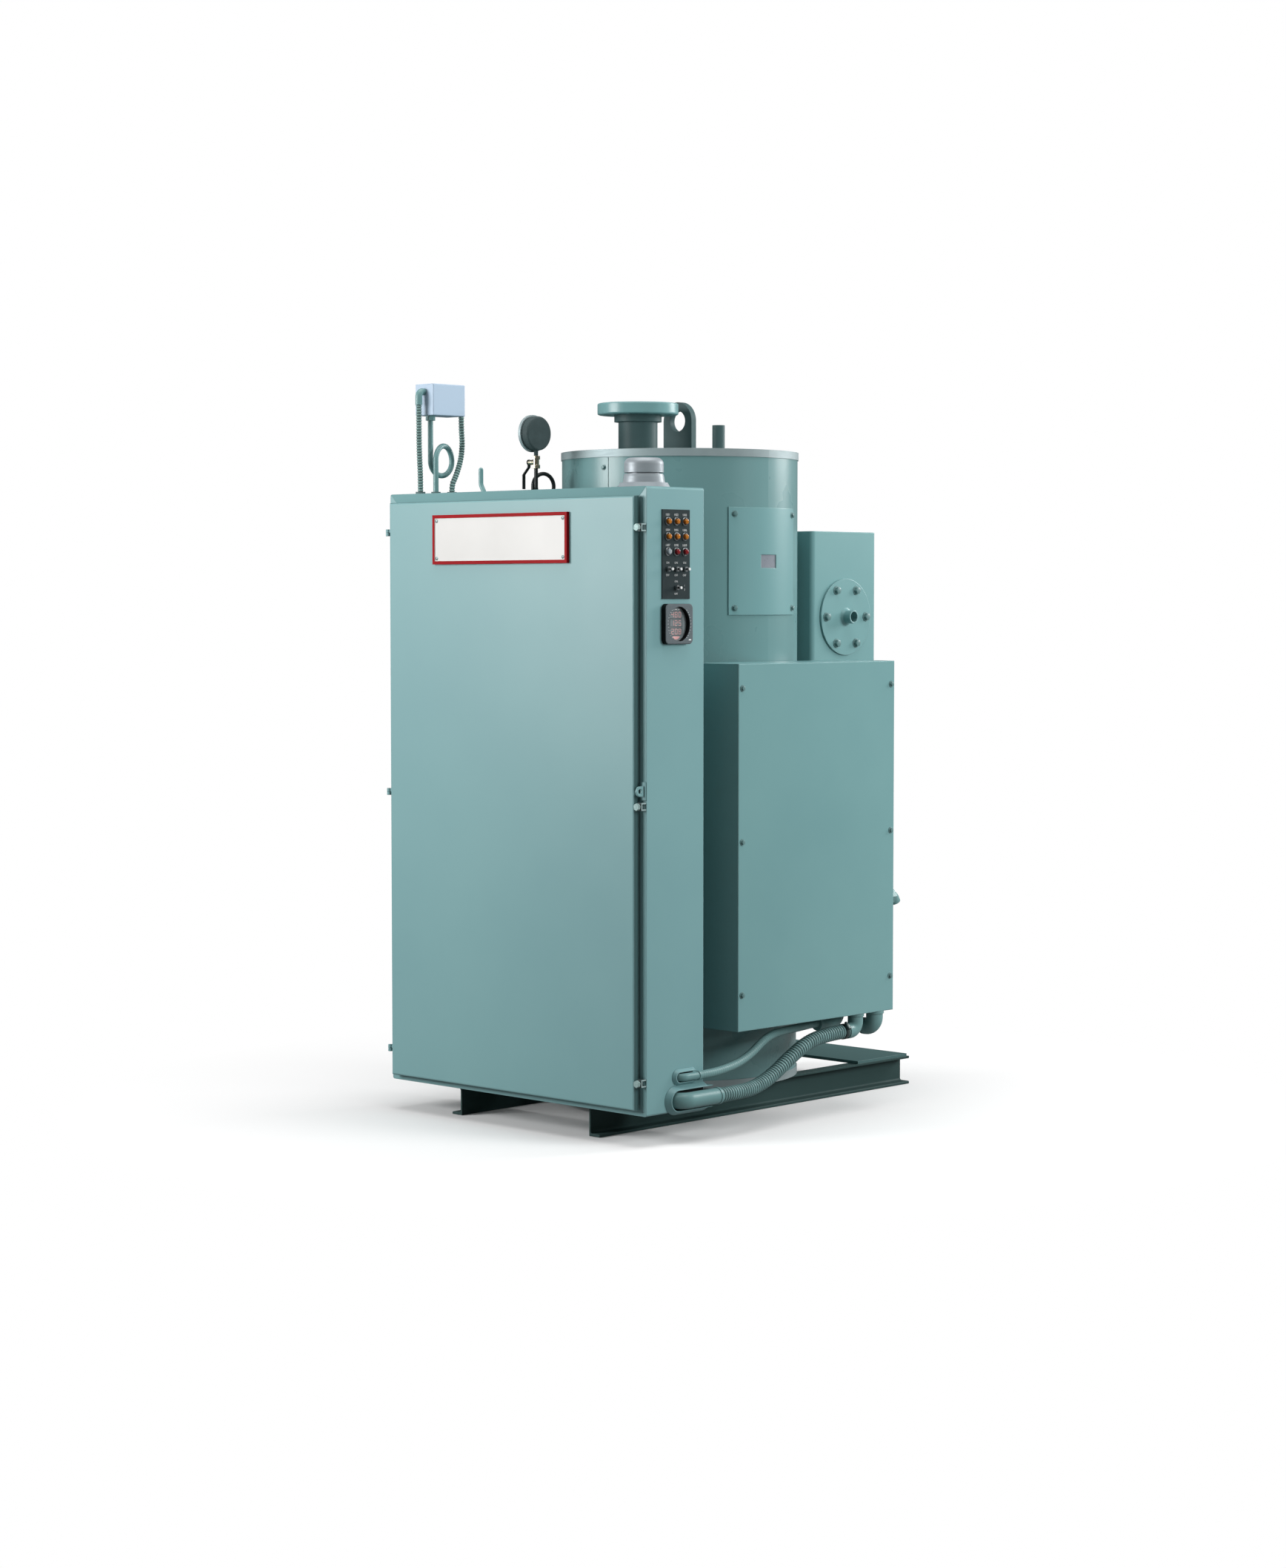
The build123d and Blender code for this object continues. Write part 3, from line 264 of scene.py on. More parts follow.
# The outlet neck, the lifting lug and the return stub take a dark copy of the enamel, as painted shade.
head_shade_enamel = enamel("head_shade_enamel", ((73, 94, 95), (65, 86, 87), (110, 136, 136)), 0.50, 0.0025, 0.18)
control_tones = ((170, 190, 209), (163, 183, 203), (190, 206, 222))
control_enamel = enamel("control_enamel", control_tones, 0.40, 0.002)
fastener_tones = ((98, 131, 131), (86, 117, 117), (150, 178, 178))
fastener_enamel = enamel("fastener_enamel", fastener_tones, 0.36, 0.0006)
print("enamels:", cabinet_enamel.name, vessel_enamel.name, skid_enamel.name, fastener_enamel.name)

# %% [markdown]
# ## Metals, plastics and lenses
# The rim bands and the vent are satin sheet, between paint and bare metal. The gauge cock is nickel-plated
# brass, and the gauge, its pipe and the instrument faces are dark. Fine noise drawn out along one direction
# gives the metal its brushed grain.

# %% Metal finishes
stain_scale = 14.0


def metal(name, tones, roughness, grain_scale, grain_depth=0.25, bare=1.0):
    finish, tree, shader, place = new_finish(name)
    colour, dark_colour = (srgb(*tone) for tone in tones)
    grain = noise(tree, stretched(tree, place, grain_scale), 1.0, 3.0)
    stain = remap(tree, noise(tree, place, stain_scale, 4.0), 0.35, 0.7, 0.0, 0.6)
    fill_in(tree, shader, {
        "Base Color": blend_colour(tree, stain, colour, dark_colour),
        "Metallic": bare,
        "Roughness": spread(tree, grain, roughness - 0.06, roughness + 0.08),
        "Normal": bump(tree, grain, grain_depth, 0.0003, soft_normal(tree, 0.0012)),
    })
    return finish


bright_band = metal("bright_band", ((152, 167, 169), (138, 153, 156)), 0.50, (30.0, 30.0, 600.0), 0.10, 0.3)
vent_metal = metal("vent_metal", ((152, 160, 165), (140, 148, 154)), 0.42, (40.0, 40.0, 300.0), 0.05, 0.2)
plated_brass = metal("plated_brass", ((196, 188, 165), (150, 140, 116)), 0.24, (300.0,) * 3)
chrome = metal("chrome", ((168, 175, 178), (140, 148, 151)), 0.30, (200.0,) * 3, 0.04)
fastener_steel = metal("fastener_steel", ((112, 124, 124), (84, 96, 96)), 0.40, (400.0,) * 3)
print("metals:", bright_band.name, vent_metal.name, plated_brass.name, fastener_steel.name)

# %% Plastic and rubber finishes
handled_scale = 45.0


def plastic(name, tones, roughness, grain_scale, grain_depth, shine=0.3):
    finish, tree, shader, place = new_finish(name)
    colour, second_colour = (srgb(*tone) for tone in tones)
    normal = soft_normal(tree, 0.001)
    handled = spread(tree, noise(tree, place, handled_scale, 4.0), 0.0, 0.7)
    worn = blend_colour(tree, handled, colour, second_colour)
    lit_edge = tuple(min(1.0, 1.6 * channel + 0.02) for channel in colour[:3]) + (1.0,)
    grain = noise(tree, place, grain_scale)
    fill_in(tree, shader, {
        "Base Color": blend_colour(tree, edge_share(tree, normal, 0.5), worn, lit_edge),
        "Roughness": spread(tree, grain, roughness - 0.06, roughness + 0.06),
        "Normal": bump(tree, grain, grain_depth, 0.0004, normal),
        "Specular IOR Level": shine,
    })
    return finish


panel_grey = plastic("panel_grey", ((46, 56, 58), (40, 50, 52)), 0.60, 260.0, 0.08, 0.10)
gauge_black = plastic("gauge_black", ((66, 79, 80), (58, 70, 71)), 0.60, 300.0, 0.15, 0.12)
black_pipe = plastic("black_pipe", ((34, 37, 38), (26, 29, 30)), 0.30, 200.0, 0.10)
# The same dark rubber serves the door gasket and, as painted shade, the sheets in the hoods.
gasket_rubber = plastic("gasket_rubber", ((38, 42, 43), (30, 34, 35)), 0.75, 240.0, 0.30)
panel_white = plastic("panel_white", ((226, 227, 224), (216, 217, 214)), 0.50, 120.0, 0.06)
mark_white = plastic("mark_white", ((222, 226, 226), (200, 206, 206)), 0.55, 300.0, 0.05)
seal_grey = plastic("seal_grey", ((92, 112, 112), (80, 98, 98)), 0.60, 220.0, 0.20)
print("plastics:", panel_grey.name, gauge_black.name, gasket_rubber.name, panel_white.name)

# %% Lens finishes
facet_scale = 420.0


def lens(name, tone, core_tone):
    finish, tree, shader, place = new_finish(name)
    facets = tree.nodes.new("ShaderNodeTexVoronoi")
    facets.inputs["Scale"].default_value = facet_scale
    tree.links.new(place, facets.inputs["Vector"])
    facet = facets.outputs["Distance"]
    fill_in(tree, shader, {
        "Base Color": blend_colour(tree, facet, srgb(*tone), srgb(*core_tone)),
        "Normal": bump(tree, facet, 0.2, 0.0004),
        "Roughness": 0.16,
        "Coat Weight": 0.6,
        "Subsurface Weight": 0.2,
        "Subsurface Radius": (0.004, 0.002, 0.001),
    })
    return finish


amber_lens = lens("amber_lens", (200, 126, 30), (128, 70, 14))
red_lens = lens("red_lens", (140, 22, 28), (86, 8, 14))
clear_lens = lens("clear_lens", (176, 184, 188), (120, 130, 138))
print("lenses:", amber_lens.name, red_lens.name, clear_lens.name)

# %% [markdown]
# ## Toggle switches
# A toggle is a bright threaded bush with a dark lever and a white tip. The switches are one node, so the
# three colours are told apart by how far a point stands out from the panel.

# %% Finish of the toggle switches
toggle_low, toggle_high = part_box("toggle_switches")
bush_length, tip_length = 0.0075, 0.0040
toggle_finish, tree, shader, place = new_finish("toggle_finish")
outward = split(tree, place)[0]
lever = maths(tree, "GREATER_THAN", outward, toggle_low.x + bush_length)
tip = maths(tree, "GREATER_THAN", outward, toggle_high.x - tip_length)
grain = spread(tree, noise(tree, place, 300.0, 3.0))
bush = blend_colour(tree, grain, srgb(206, 212, 214), srgb(182, 189, 192))
dark = blend_colour(tree, lever, bush, srgb(30, 33, 35))
fill_in(tree, shader, {
    "Base Color": blend_colour(tree, tip, dark, srgb(224, 227, 226)),
    "Metallic": maths(tree, "SUBTRACT", 1.0, lever),
    "Roughness": remap(tree, grain, 0.0, 1.0, 0.24, 0.34),
    "Normal": bump(tree, grain, 0.05, 0.0002, soft_normal(tree, 0.0006)),
})
print("toggle finish:", toggle_finish.name)

# %% [markdown]
# ## Screw clamps
# Each clamp is a bracket with a bright hexagon screw in front. The bracket is painted near black as painted
# shade, and pale on its cut ends, the faces that look sideways, as painted highlight; its edges are paler
# again, partly wear and partly painted highlight. Bracket and screw are one solid, and the screw stands out
# to the front, so the depth of a point tells which it is.

# %% Finish of the screw clamps
clamp_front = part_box("door_clamps")[0].y
clamp_screw_depth = 0.0124
clamp_finish, tree, shader, place = new_finish("clamp_finish")
bracket = maths(tree, "GREATER_THAN", split(tree, place)[1], clamp_front + clamp_screw_depth)
grain = spread(tree, noise(tree, place, 240.0, 3.0))
steel = blend_colour(tree, grain, srgb(150, 176, 174), srgb(128, 154, 152))
sideways = normal_axes(tree)[0]
sideways_share = maths(tree, "MULTIPLY", sideways, sideways)
# Near black on faces that don't look sideways is painted shade; pale on the sideways cut ends is painted
# highlight.
bracket_shade_and_highlight = blend_colour(tree, sideways_share, srgb(34, 50, 50), srgb(146, 170, 170))
coat = blend_colour(tree, bracket, steel, bracket_shade_and_highlight)
normal = soft_normal(tree, 0.0012)
# The paler edges are partly wear and partly a painted highlight.
fill_in(tree, shader, {
    "Base Color": blend_colour(tree, edge_share(tree, normal, 0.45), coat, srgb(170, 184, 184)),
    "Metallic": remap(tree, bracket, 0.0, 1.0, 0.3, 0.0),
    "Roughness": remap(tree, grain, 0.0, 1.0, 0.46, 0.56),
    "Normal": bump(tree, grain, 0.06, 0.0003, normal),
})
print("clamp finish:", clamp_finish.name)

# %% [markdown]
# ## Digital meter case
# The meter has a grey front with a deep oval window. Its sides and the window's walls are painted near
# black, which stands in for the shade in and round the deep window, so the finish asks which way a face
# looks: only faces that look straight out from the cabinet are grey, and the window's floor, which lies
# deepest, is a little paler.

# %% Finish of the meter
meter_low, meter_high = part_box("power_meter")
meter_middle = (meter_low + meter_high) / 2
meter_window_depth = 0.012
meter_floor = meter_high.x - meter_window_depth
meter_finish, tree, shader, place = new_finish("meter_finish")
front = remap(tree, normal_axes(tree)[0], 0.45, 0.75, 0.0, 1.0)
deep = maths(tree, "LESS_THAN", split(tree, place)[0], meter_floor + 0.001)
grain = noise(tree, place, 420.0)
tone = spread(tree, grain)
face = blend_colour(tree, tone, srgb(98, 107, 111), srgb(86, 95, 99))
floor_tone = blend_colour(tree, tone, srgb(126, 135, 137), srgb(116, 125, 128))
grey = blend_colour(tree, deep, face, floor_tone)
fill_in(tree, shader, {
    # Faces that don't look straight out are painted near black: painted shade.
    "Base Color": blend_colour(tree, front, srgb(12, 14, 15), grey),
    "Normal": bump(tree, grain, 0.2, 0.0003, soft_normal(tree, 0.001)),
    "Roughness": spread(tree, grain, 0.46, 0.60),
    "Specular IOR Level": 0.15,
})
print("meter finish:", meter_finish.name)

# %% [markdown]
# ## Plate with a red rim
# The door carries a white enamelled plate with a raised red rim. The plate is one solid, so the two colours
# are split by where a point lies: outside the inner rectangle it is red. One compare node for each
# direction of the plate does that, with no image.

# %% Finish of the door plate
plate_low, plate_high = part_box("nameplate")
plate_rim, rim_margin, rim_height = 0.0085, 0.0002, 0.0015
plate_face = plate_low.y + rim_height
door_plate_finish, tree, shader, place = new_finish("rimmed_plate")
axes = split(tree, place)
outside = []
for axis in (0, 2):
    middle = (plate_low[axis] + plate_high[axis]) / 2
    half = (plate_high[axis] - plate_low[axis]) / 2 - plate_rim + rim_margin
    away = maths(tree, "ABSOLUTE", maths(tree, "SUBTRACT", axes[axis], middle), 0.0)
    outside.append(maths(tree, "GREATER_THAN", away, half))
rim = maths(tree, "MAXIMUM", *outside)
faint = spread(tree, noise(tree, place, 6.0, 3.0))
white = blend_colour(tree, faint, srgb(210, 209, 206), srgb(203, 202, 199))
red = blend_colour(tree, faint, srgb(158, 4, 16), srgb(144, 2, 12))
fill_in(tree, shader, {
    "Base Color": blend_colour(tree, rim, white, red),
    "Normal": bump(tree, noise(tree, place, 90.0), 0.05, 0.0004, soft_normal(tree, 0.001)),
    "Roughness": remap(tree, rim, 0.0, 1.0, 0.32, 0.55),
    "Specular IOR Level": remap(tree, rim, 0.0, 1.0, 0.4, 0.1),
})
print("door plate finish:", door_plate_finish.name)

# %% [markdown]
# ## Paint the CAD nodes
# Each CAD node keeps its own mesh and only gets a finish in its material slot. A table of finish to nodes
# reads like a paint list in a workshop.

# %% Paint list
paint_list = {
    cabinet_enamel: [
        "cabinet_floor", "cabinet_left_side", "cabinet_right_side", "cabinet_back", "cabinet_hinges",
        "door_hinges", "padlock_hasp", "conduit_hoods",
    ],
    door_enamel: ["cabinet_door"],
    roof_enamel: ["cabinet_roof"],
    jacket_shade_enamel: ["vessel_jacket", "vessel_top", "vessel_bottom"],
    vessel_enamel: [
        "access_cover", "heater_box", "heater_box_cover",
        "heater_nozzle", "rear_box", "rear_nozzle", "port_plate", "outlet_flange",
    ],
    head_shade_enamel: ["outlet_neck", "lifting_lug", "return_stub"],
    skid_enamel: ["skid_channel_left", "skid_channel_right"],
    deck_shade_enamel: ["skid_rear_plate"],
    pipe_enamel: ["control_siphon", "control_fittings", "bent_tube", "box_fittings", "conduit_elbows"],
    control_enamel: ["control_box"],
    bright_band: ["vessel_bands", "gauge_bezel"],
    chrome: ["lamp_bezels"],
    vent_metal: ["vent_base", "vent_cap"],
    plated_brass: ["gauge_cock"],
    gauge_black: ["gauge_case"],
    black_pipe: ["gauge_siphon", "cock_lever"],
    gasket_rubber: ["door_gasket"],
    seal_grey: ["roof_seals"],
    panel_white: ["mounting_panel"],
    panel_grey: ["lamp_panel"],
    meter_finish: ["power_meter"],
    clamp_finish: ["door_clamps"],
    amber_lens: ["amber_lamps"],
    red_lens: ["red_lamps"],
    clear_lens: ["white_lamp"],
    door_plate_finish: ["nameplate"],
    toggle_finish: ["toggle_switches"],
}
for finish, names in paint_list.items():
    for name in names:
        nodes[name].data.materials.clear()
        nodes[name].data.materials.append(finish)
print("painted", sum(len(names) for names in paint_list.values()), "nodes")

# %% [markdown]
# ## Flexible conduits
# Four conduits are bent freely: two big ones between the cabinet and the terminal box, and two slim ones
# from the pressure control into the roof. Their routes are control points of a NURBS spline, given from the
# cabinet's corner, or from under the control box for the slim ones. The tube is a ring of edges, extruded
# from station to station along points read from that spline, and its radius rises and falls for the ribs.
# A float attribute keeps the rib's height for the finish.

# %% Routes of the conduits
large_hose_route = [
    (0.026, 0.230, 0.106), (0.026, 0.296, 0.106), (0.019, 0.372, 0.108), (0.012, 0.448, 0.130),
    (0.006, 0.522, 0.167), (0.002, 0.600, 0.201), (0.0, 0.690, 0.212), (0.0, 0.752, 0.212),
]
small_hose_route = [
    (0.014, 0.174, 0.162), (0.014, 0.212, 0.162), (0.011, 0.262, 0.165), (0.004, 0.322, 0.172),
    (-0.006, 0.384, 0.188), (-0.020, 0.446, 0.214), (-0.036, 0.504, 0.226), (-0.054, 0.570, 0.226),
    (-0.076, 0.646, 0.224), (-0.092, 0.700, 0.223), (-0.100, 0.730, 0.223), (-0.100, 0.752, 0.223),
]
control_corner = Vector((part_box("control_box")[0].x, cabinet_corner.y, cabinet_corner.z))
left_flex_route = [
    (0.034, 0.0262, 1.829), (0.034, 0.0262, 1.786), (0.034, 0.0266, 1.732),
    (0.034, 0.028, 1.688), (0.034, 0.0308, 1.648), (0.034, 0.0308, 1.6062),
]
right_flex_route = [
    (0.061, 0.1505, 1.803), (0.061, 0.1505, 1.768), (0.064, 0.151, 1.734), (0.070, 0.142, 1.700),
    (0.076, 0.127, 1.671), (0.080, 0.111, 1.644), (0.081, 0.098, 1.626), (0.081, 0.098, 1.6062),
]
print("points of the big routes:", len(large_hose_route), "and", len(small_hose_route))


def spline_points(name, route, corner):
    curve = bpy.data.curves.new(name, "CURVE")
    curve.dimensions = "3D"
    curve.resolution_u = 40
    spline = curve.splines.new("NURBS")
    spline.points.add(len(route) - 1)
    for point, spot in zip(spline.points, route):
        point.co = (*(corner + Vector(spot)), 1.0)
    spline.order_u = 3
    spline.use_endpoint_u = True
    guide = bpy.data.objects.new(name, curve)
    line = bpy.data.meshes.new_from_object(guide)
    points = [vertex.co.copy() for vertex in line.vertices]
    bpy.data.objects.remove(guide)
    bpy.data.meshes.remove(line)
    bpy.data.curves.remove(curve)
    return points


# %% Helpers that walk along a spline
def line_length(points):
    return sum((after - before).length for before, after in zip(points, points[1:]))


def point_at(points, distance):
    for before, after in zip(points, points[1:]):
        run = (after - before).length
        if distance <= run:
            return before.lerp(after, distance / run), (after - before).normalized()
        distance -= run
    return points[-1].copy(), (points[-1] - points[-2]).normalized()


def stations(points, count):
    length = line_length(points)
    places = []
    turn = Matrix.Identity(4)
    heading = Vector((0.0, 0.0, 1.0))
    for step in range(count + 1):
        spot, direction = point_at(points, length * step / count)
        turn = heading.rotation_difference(direction).to_matrix().to_4x4() @ turn
        heading = direction
        places.append(Matrix.Translation(spot) @ turn)
    return places


# %% [markdown]
# A conduit sheath is soft plastic over a steel spiral. The finish reads the rib attribute and goes darker
# and rougher in the grooves, and noise dims the crests here and there.

# %% Finish of the conduit sheath
def sheath(name, crest_tone, groove_tone):
    finish, tree, shader, place = new_finish(name)
    attribute = tree.nodes.new("ShaderNodeAttribute")
    attribute.attribute_name = "rib"
    rib = attribute.outputs["Fac"]
    grime = spread(tree, noise(tree, place, 30.0, 3.0), 0.7, 1.0)
    crest_share = maths(tree, "MULTIPLY", rib, grime)
    fill_in(tree, shader, {
        "Base Color": blend_colour(tree, crest_share, srgb(*groove_tone), srgb(*crest_tone)),
        "Roughness": remap(tree, rib, 0.0, 1.0, 0.6, 0.36),
        "Normal": bump(tree, noise(tree, place, 260.0), 0.1, 0.0004),
        "Specular IOR Level": 0.25,
    })
    return finish


conduit_sheath = sheath("conduit_sheath", (124, 160, 160), (40, 58, 58))
smooth_sheath = sheath("smooth_sheath", (112, 147, 147), (94, 126, 126))
slim_sheath = sheath("slim_sheath", (136, 168, 164), (38, 58, 57))
print("sheaths:", conduit_sheath.name, smooth_sheath.name, slim_sheath.name)


# %% Helpers that make a hose and hand a mesh over
def as_mesh(shape, name):
    mesh = bpy.data.meshes.new(name)
    shape.to_mesh(mesh)
    shape.free()
    return mesh


def face_out(shape):
    bmesh.ops.recalc_face_normals(shape, faces=shape.faces)


def settle(shape, name, finish, body="root", sharp_angle=38.0):
    mesh = as_mesh(shape, name)
    mesh.shade_smooth()
    mesh.set_sharp_from_angle(angle=radians(sharp_angle))
    mesh.materials.append(finish)
    piece = bpy.data.objects.new(name, mesh)
    scene.collection.objects.link(piece)
    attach(piece, body)
    print(name, "rides on", body, "with", len(mesh.polygons), "faces")
    return piece


def ribbed_tube(points, radius, rib_depth, rib_pitch, sides):
    rib_shares = (0.0, 0.75, 1.0, 0.75)
    count = max(1, round(line_length(points) / rib_pitch)) * len(rib_shares)
    places = stations(points, count)
    shape = bmesh.new()
    rib_layer = shape.verts.layers.float.new("rib")
    ring = bmesh.ops.create_circle(shape, segments=sides, radius=1.0)["verts"]
    edges = list(shape.edges)
    before = Matrix.Identity(4)
    ends = []
    for step, place in enumerate(places):
        share = rib_shares[step % len(rib_shares)]
        here = place @ Matrix.Diagonal((*[radius - rib_depth * (1.0 - share)] * 2, 1.0, 1.0))
        if step:
            grown = bmesh.ops.extrude_edge_only(shape, edges=edges)["geom"]
            ring = [item for item in grown if isinstance(item, bmesh.types.BMVert)]
            edges = [edge for edge in grown if isinstance(edge, bmesh.types.BMEdge)
                     and all(vert in ring for vert in edge.verts)]
        bmesh.ops.transform(shape, matrix=here @ before.inverted(), verts=ring)
        for vert in ring:
            vert[rib_layer] = share
        before = here
        if step in (0, count):
            ends.append(list(edges))
    for end in ends:
        bmesh.ops.edgeloop_fill(shape, edges=end)
    face_out(shape)
    return shape


def conduit(name, route, corner, radius, rib_depth, rib_pitch, sides, finish):
    points = spline_points(name, route, corner)
    tube = ribbed_tube(points, radius, rib_depth, rib_pitch, sides)
    piece = settle(tube, f"{name}_tube", finish, sharp_angle=60.0)
    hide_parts(name)
    return points


# %% Make the conduits: route, corner, radius, rib depth, rib pitch, sides, finish
conduits = {
    "large_power_hose": (large_hose_route, cabinet_corner, 0.0189, 0.0028, 0.0088, 36, conduit_sheath),
    "small_power_hose": (small_hose_route, cabinet_corner, 0.0105, 0.0002, 0.0080, 24, smooth_sheath),
    "left_flex_conduit": (left_flex_route, control_corner, 0.0074, 0.0018, 0.0072, 24, slim_sheath),
    "right_flex_conduit": (right_flex_route, control_corner, 0.0074, 0.0018, 0.0072, 24, slim_sheath),
}
conduit_lines = {name: conduit(name, *sizes) for name, sizes in conduits.items()}
for name, points in conduit_lines.items():
    print(name, "is", round(line_length(points), 4), "m long")

# %% [markdown]
# ## Screws and bolts
# Covers are held by hex screws with washers. One screw is modelled at the origin, with its head's rim
# chamfered, and repeated by matrices: the copies stay one light mesh, and a change to one reaches all.

# %% Helpers for fasteners
def facing(spot, outward):
    turn = Vector((0.0, 0.0, 1.0)).rotation_difference(Vector(outward)).to_matrix().to_4x4()
    return Matrix.Translation(spot) @ turn


def join(whole, mesh, place):
    first = len(whole.verts)
    whole.from_mesh(mesh)
    whole.verts.ensure_lookup_table()
    bmesh.ops.transform(whole, matrix=place, verts=whole.verts[first:])


def repeat(pattern, places):
    mesh = as_mesh(pattern, "pattern")
    whole = bmesh.new()
    for place in places:
        join(whole, mesh, place)
    bpy.data.meshes.remove(mesh)
    return whole


def spun(corners, centre, turn, steps, closed=False):
    shape = bmesh.new()
    verts = [shape.verts.new(corner) for corner in corners]
    edges = [shape.edges.new(pair) for pair in zip(verts, verts[1:])]
    bmesh.ops.spin(shape, geom=verts + edges, cent=centre, axis=(0, 0, 1), angle=radians(turn), steps=steps,
                   use_merge=closed)
    return shape


def turned(profile, steps):
    shape = spun([(radius, 0.0, height) for radius, height in profile], (0, 0, 0), 360.0, steps, True)
    bmesh.ops.remove_doubles(shape, verts=shape.verts, dist=0.00001)
    face_out(shape)
    return shape


def hex_screw(across, head, washer_radius, washer):
    shape = turned([
        (0.0, 0.0), (washer_radius, 0.0), (washer_radius, washer * 0.6),
        (washer_radius * 0.93, washer), (0.0, washer),
    ], 28)
    corner, middle = across / 3**0.5, washer + head / 2
    nut = bmesh.new()
    bmesh.ops.create_cone(nut, cap_ends=True, segments=6, radius1=corner, radius2=corner, depth=head,
                          matrix=Matrix.Translation((0.0, 0.0, middle)))
    rim = [edge for edge in nut.edges if all(vert.co.z > middle for vert in edge.verts)]
    bmesh.ops.bevel(nut, geom=rim, offset=head * 0.22, segments=2, profile=0.5, affect="EDGES", material=-1)
    mesh = as_mesh(nut, "nut")
    shape.from_mesh(mesh)
    bpy.data.meshes.remove(mesh)
    return shape


# %% Screws of the terminal box cover
box_low, box_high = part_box("heater_box_cover")
box_screw_inset = 0.014
box_screw_rows = (box_low.y + box_screw_inset, box_high.y - box_screw_inset)
box_screw_heights = (0.346, 0.7275, 1.109)
box_screws = repeat(hex_screw(0.010, 0.0045, 0.0085, 0.0016), [
    facing((box_high.x, y, z), (1, 0, 0)) for y in box_screw_rows for z in box_screw_heights
])
settle(box_screws, "terminal_box_screws", fastener_enamel)

# %% Screws of the door plate
plate_screw_inset = 0.015
round_head = [(0.0, 0.0), (0.0045, 0.0), (0.0044, 0.0006), (0.0034, 0.0011), (0.0, 0.0013)]
plate_screws = repeat(turned(round_head, 24), [
    facing((x, plate_face, z), (0, -1, 0))
    for x in (plate_low.x + plate_screw_inset, plate_high.x - plate_screw_inset)
    for z in (plate_low.z + plate_screw_inset, plate_high.z - plate_screw_inset)
])
settle(plate_screws, "door_plate_screws", fastener_steel, "door")

# %% Screws of the access cover
jacket_low, jacket_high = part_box("vessel_jacket")
vessel_axis = Vector(((jacket_low.x + jacket_high.x) / 2, (jacket_low.y + jacket_high.y) / 2, 0.0))
jacket_radius = (jacket_high.x - jacket_low.x) / 2
cover_low, cover_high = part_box("access_cover")
cover_screw_radius = cover_high.x - vessel_axis.x - 0.0003
cover_screw_angles = (-20.5, 21.2)
cover_screw_inset = 0.0175
cover_screw_heights = (cover_low.z + cover_screw_inset, cover_high.z - cover_screw_inset)


def outwards(angle):
    return Vector((cos(radians(angle)), sin(radians(angle)), 0.0))


def vessel_point(angle, height, radius):
    return vessel_axis + outwards(angle) * radius + Vector((0.0, 0.0, height))


def on_vessel(angle, height, radius):
    return facing(vessel_point(angle, height, radius), outwards(angle))


cover_screws = repeat(hex_screw(0.010, 0.0050, 0.0085, 0.0016), [
    on_vessel(angle, height, cover_screw_radius)
    for angle in cover_screw_angles for height in cover_screw_heights
])
settle(cover_screws, "access_cover_screws", fastener_enamel)

# %% Bolts of the round port
port_low, port_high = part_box("port_plate")
port_middle = (port_low + port_high) / 2
port_thickness = 0.006
port_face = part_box("rear_box")[1].x + port_thickness
port_bolt_radius = 0.082
port_bolt_turns = [outwards(60.0 * step) * port_bolt_radius for step in range(6)]
port_bolts = repeat(hex_screw(0.017, 0.0085, 0.0125, 0.0022), [
    facing((port_face, port_middle.y + turn.x, port_middle.z + turn.y), (1, 0, 0))
    for turn in port_bolt_turns
])
settle(port_bolts, "port_bolts", fastener_enamel)

# %% [markdown]
# ## Lap seam of the jacket
# The jacket is one sheet rolled round the vessel, and its end laps over its start with a row of screws. A
# strip of edges is spun a few degrees about the vessel's axis and tapered into the jacket, so that only the
# lap's free edge stands proud.

# %% Lap seam and its screws
band_low, band_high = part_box("vessel_bands")
seam_angle, seam_turn, seam_steps = -83.2, -14.0, 14
seam_screw_angle = -85.9
seam_screw_heights = (0.26, 0.61, 0.96, 1.31, 1.6656)
seam_thickness, least_share = 0.0012, 0.12
seam_low = band_low.z + 0.022
seam_high = band_high.z - 0.020
seam_outline = [(0.0, seam_low), (seam_thickness, seam_low), (seam_thickness, seam_high), (0.0, seam_high)]
seam_corners = [vessel_point(seam_angle, height, jacket_radius + proud) for proud, height in seam_outline]
seam = spun(seam_corners, vessel_axis, seam_turn, seam_steps)
seam_end = radians(seam_angle + seam_turn)
for vert in seam.verts:
    away = vert.co - vessel_axis
    away.z = 0.0
    swung = -Vector((1.0, 0.0)).angle_signed(away.xy)
    share = (seam_end - swung) / radians(seam_turn)
    if away.length > jacket_radius + seam_thickness / 2:
        vert.co -= away.normalized() * seam_thickness * (1.0 - min(1.0, max(least_share, share)))
face_out(seam)
settle(seam, "jacket_lap_seam", jacket_shade_enamel)
seam_screws = repeat(hex_screw(0.009, 0.0040, 0.0075, 0.0014), [
    on_vessel(seam_screw_angle, height, jacket_radius + seam_thickness * 0.6)
    for height in seam_screw_heights
])
settle(seam_screws, "jacket_seam_screws", fastener_enamel)

# %% [markdown]
# ## Sight window
# The access cover has a small opening with a grey plate behind it. The opening is cut in the solid, so the
# scene adds only the plate: a curved sheet, spun to the jacket's radius, that lies between the cover and
# the jacket.

# %% Window plate of the access cover
window_start, window_turn, window_steps = -6.0, 12.0, 10
window_half_height, window_lift, window_thickness = 0.019, 0.0008, 0.0006
window_middle = (cover_low.z + cover_high.z) / 2
window_ends = [
    vessel_point(window_start, window_middle + rise, jacket_radius + window_lift)
    for rise in (-window_half_height, window_half_height)
]
window = spun(window_ends, vessel_axis, window_turn, window_steps)
face_out(window)
bmesh.ops.solidify(window, geom=window.faces[:], thickness=window_thickness)
window_grey = plastic("window_grey", ((128, 134, 142), (116, 122, 131)), 0.32, 160.0, 0.06)
settle(window, "cover_window_plate", window_grey)

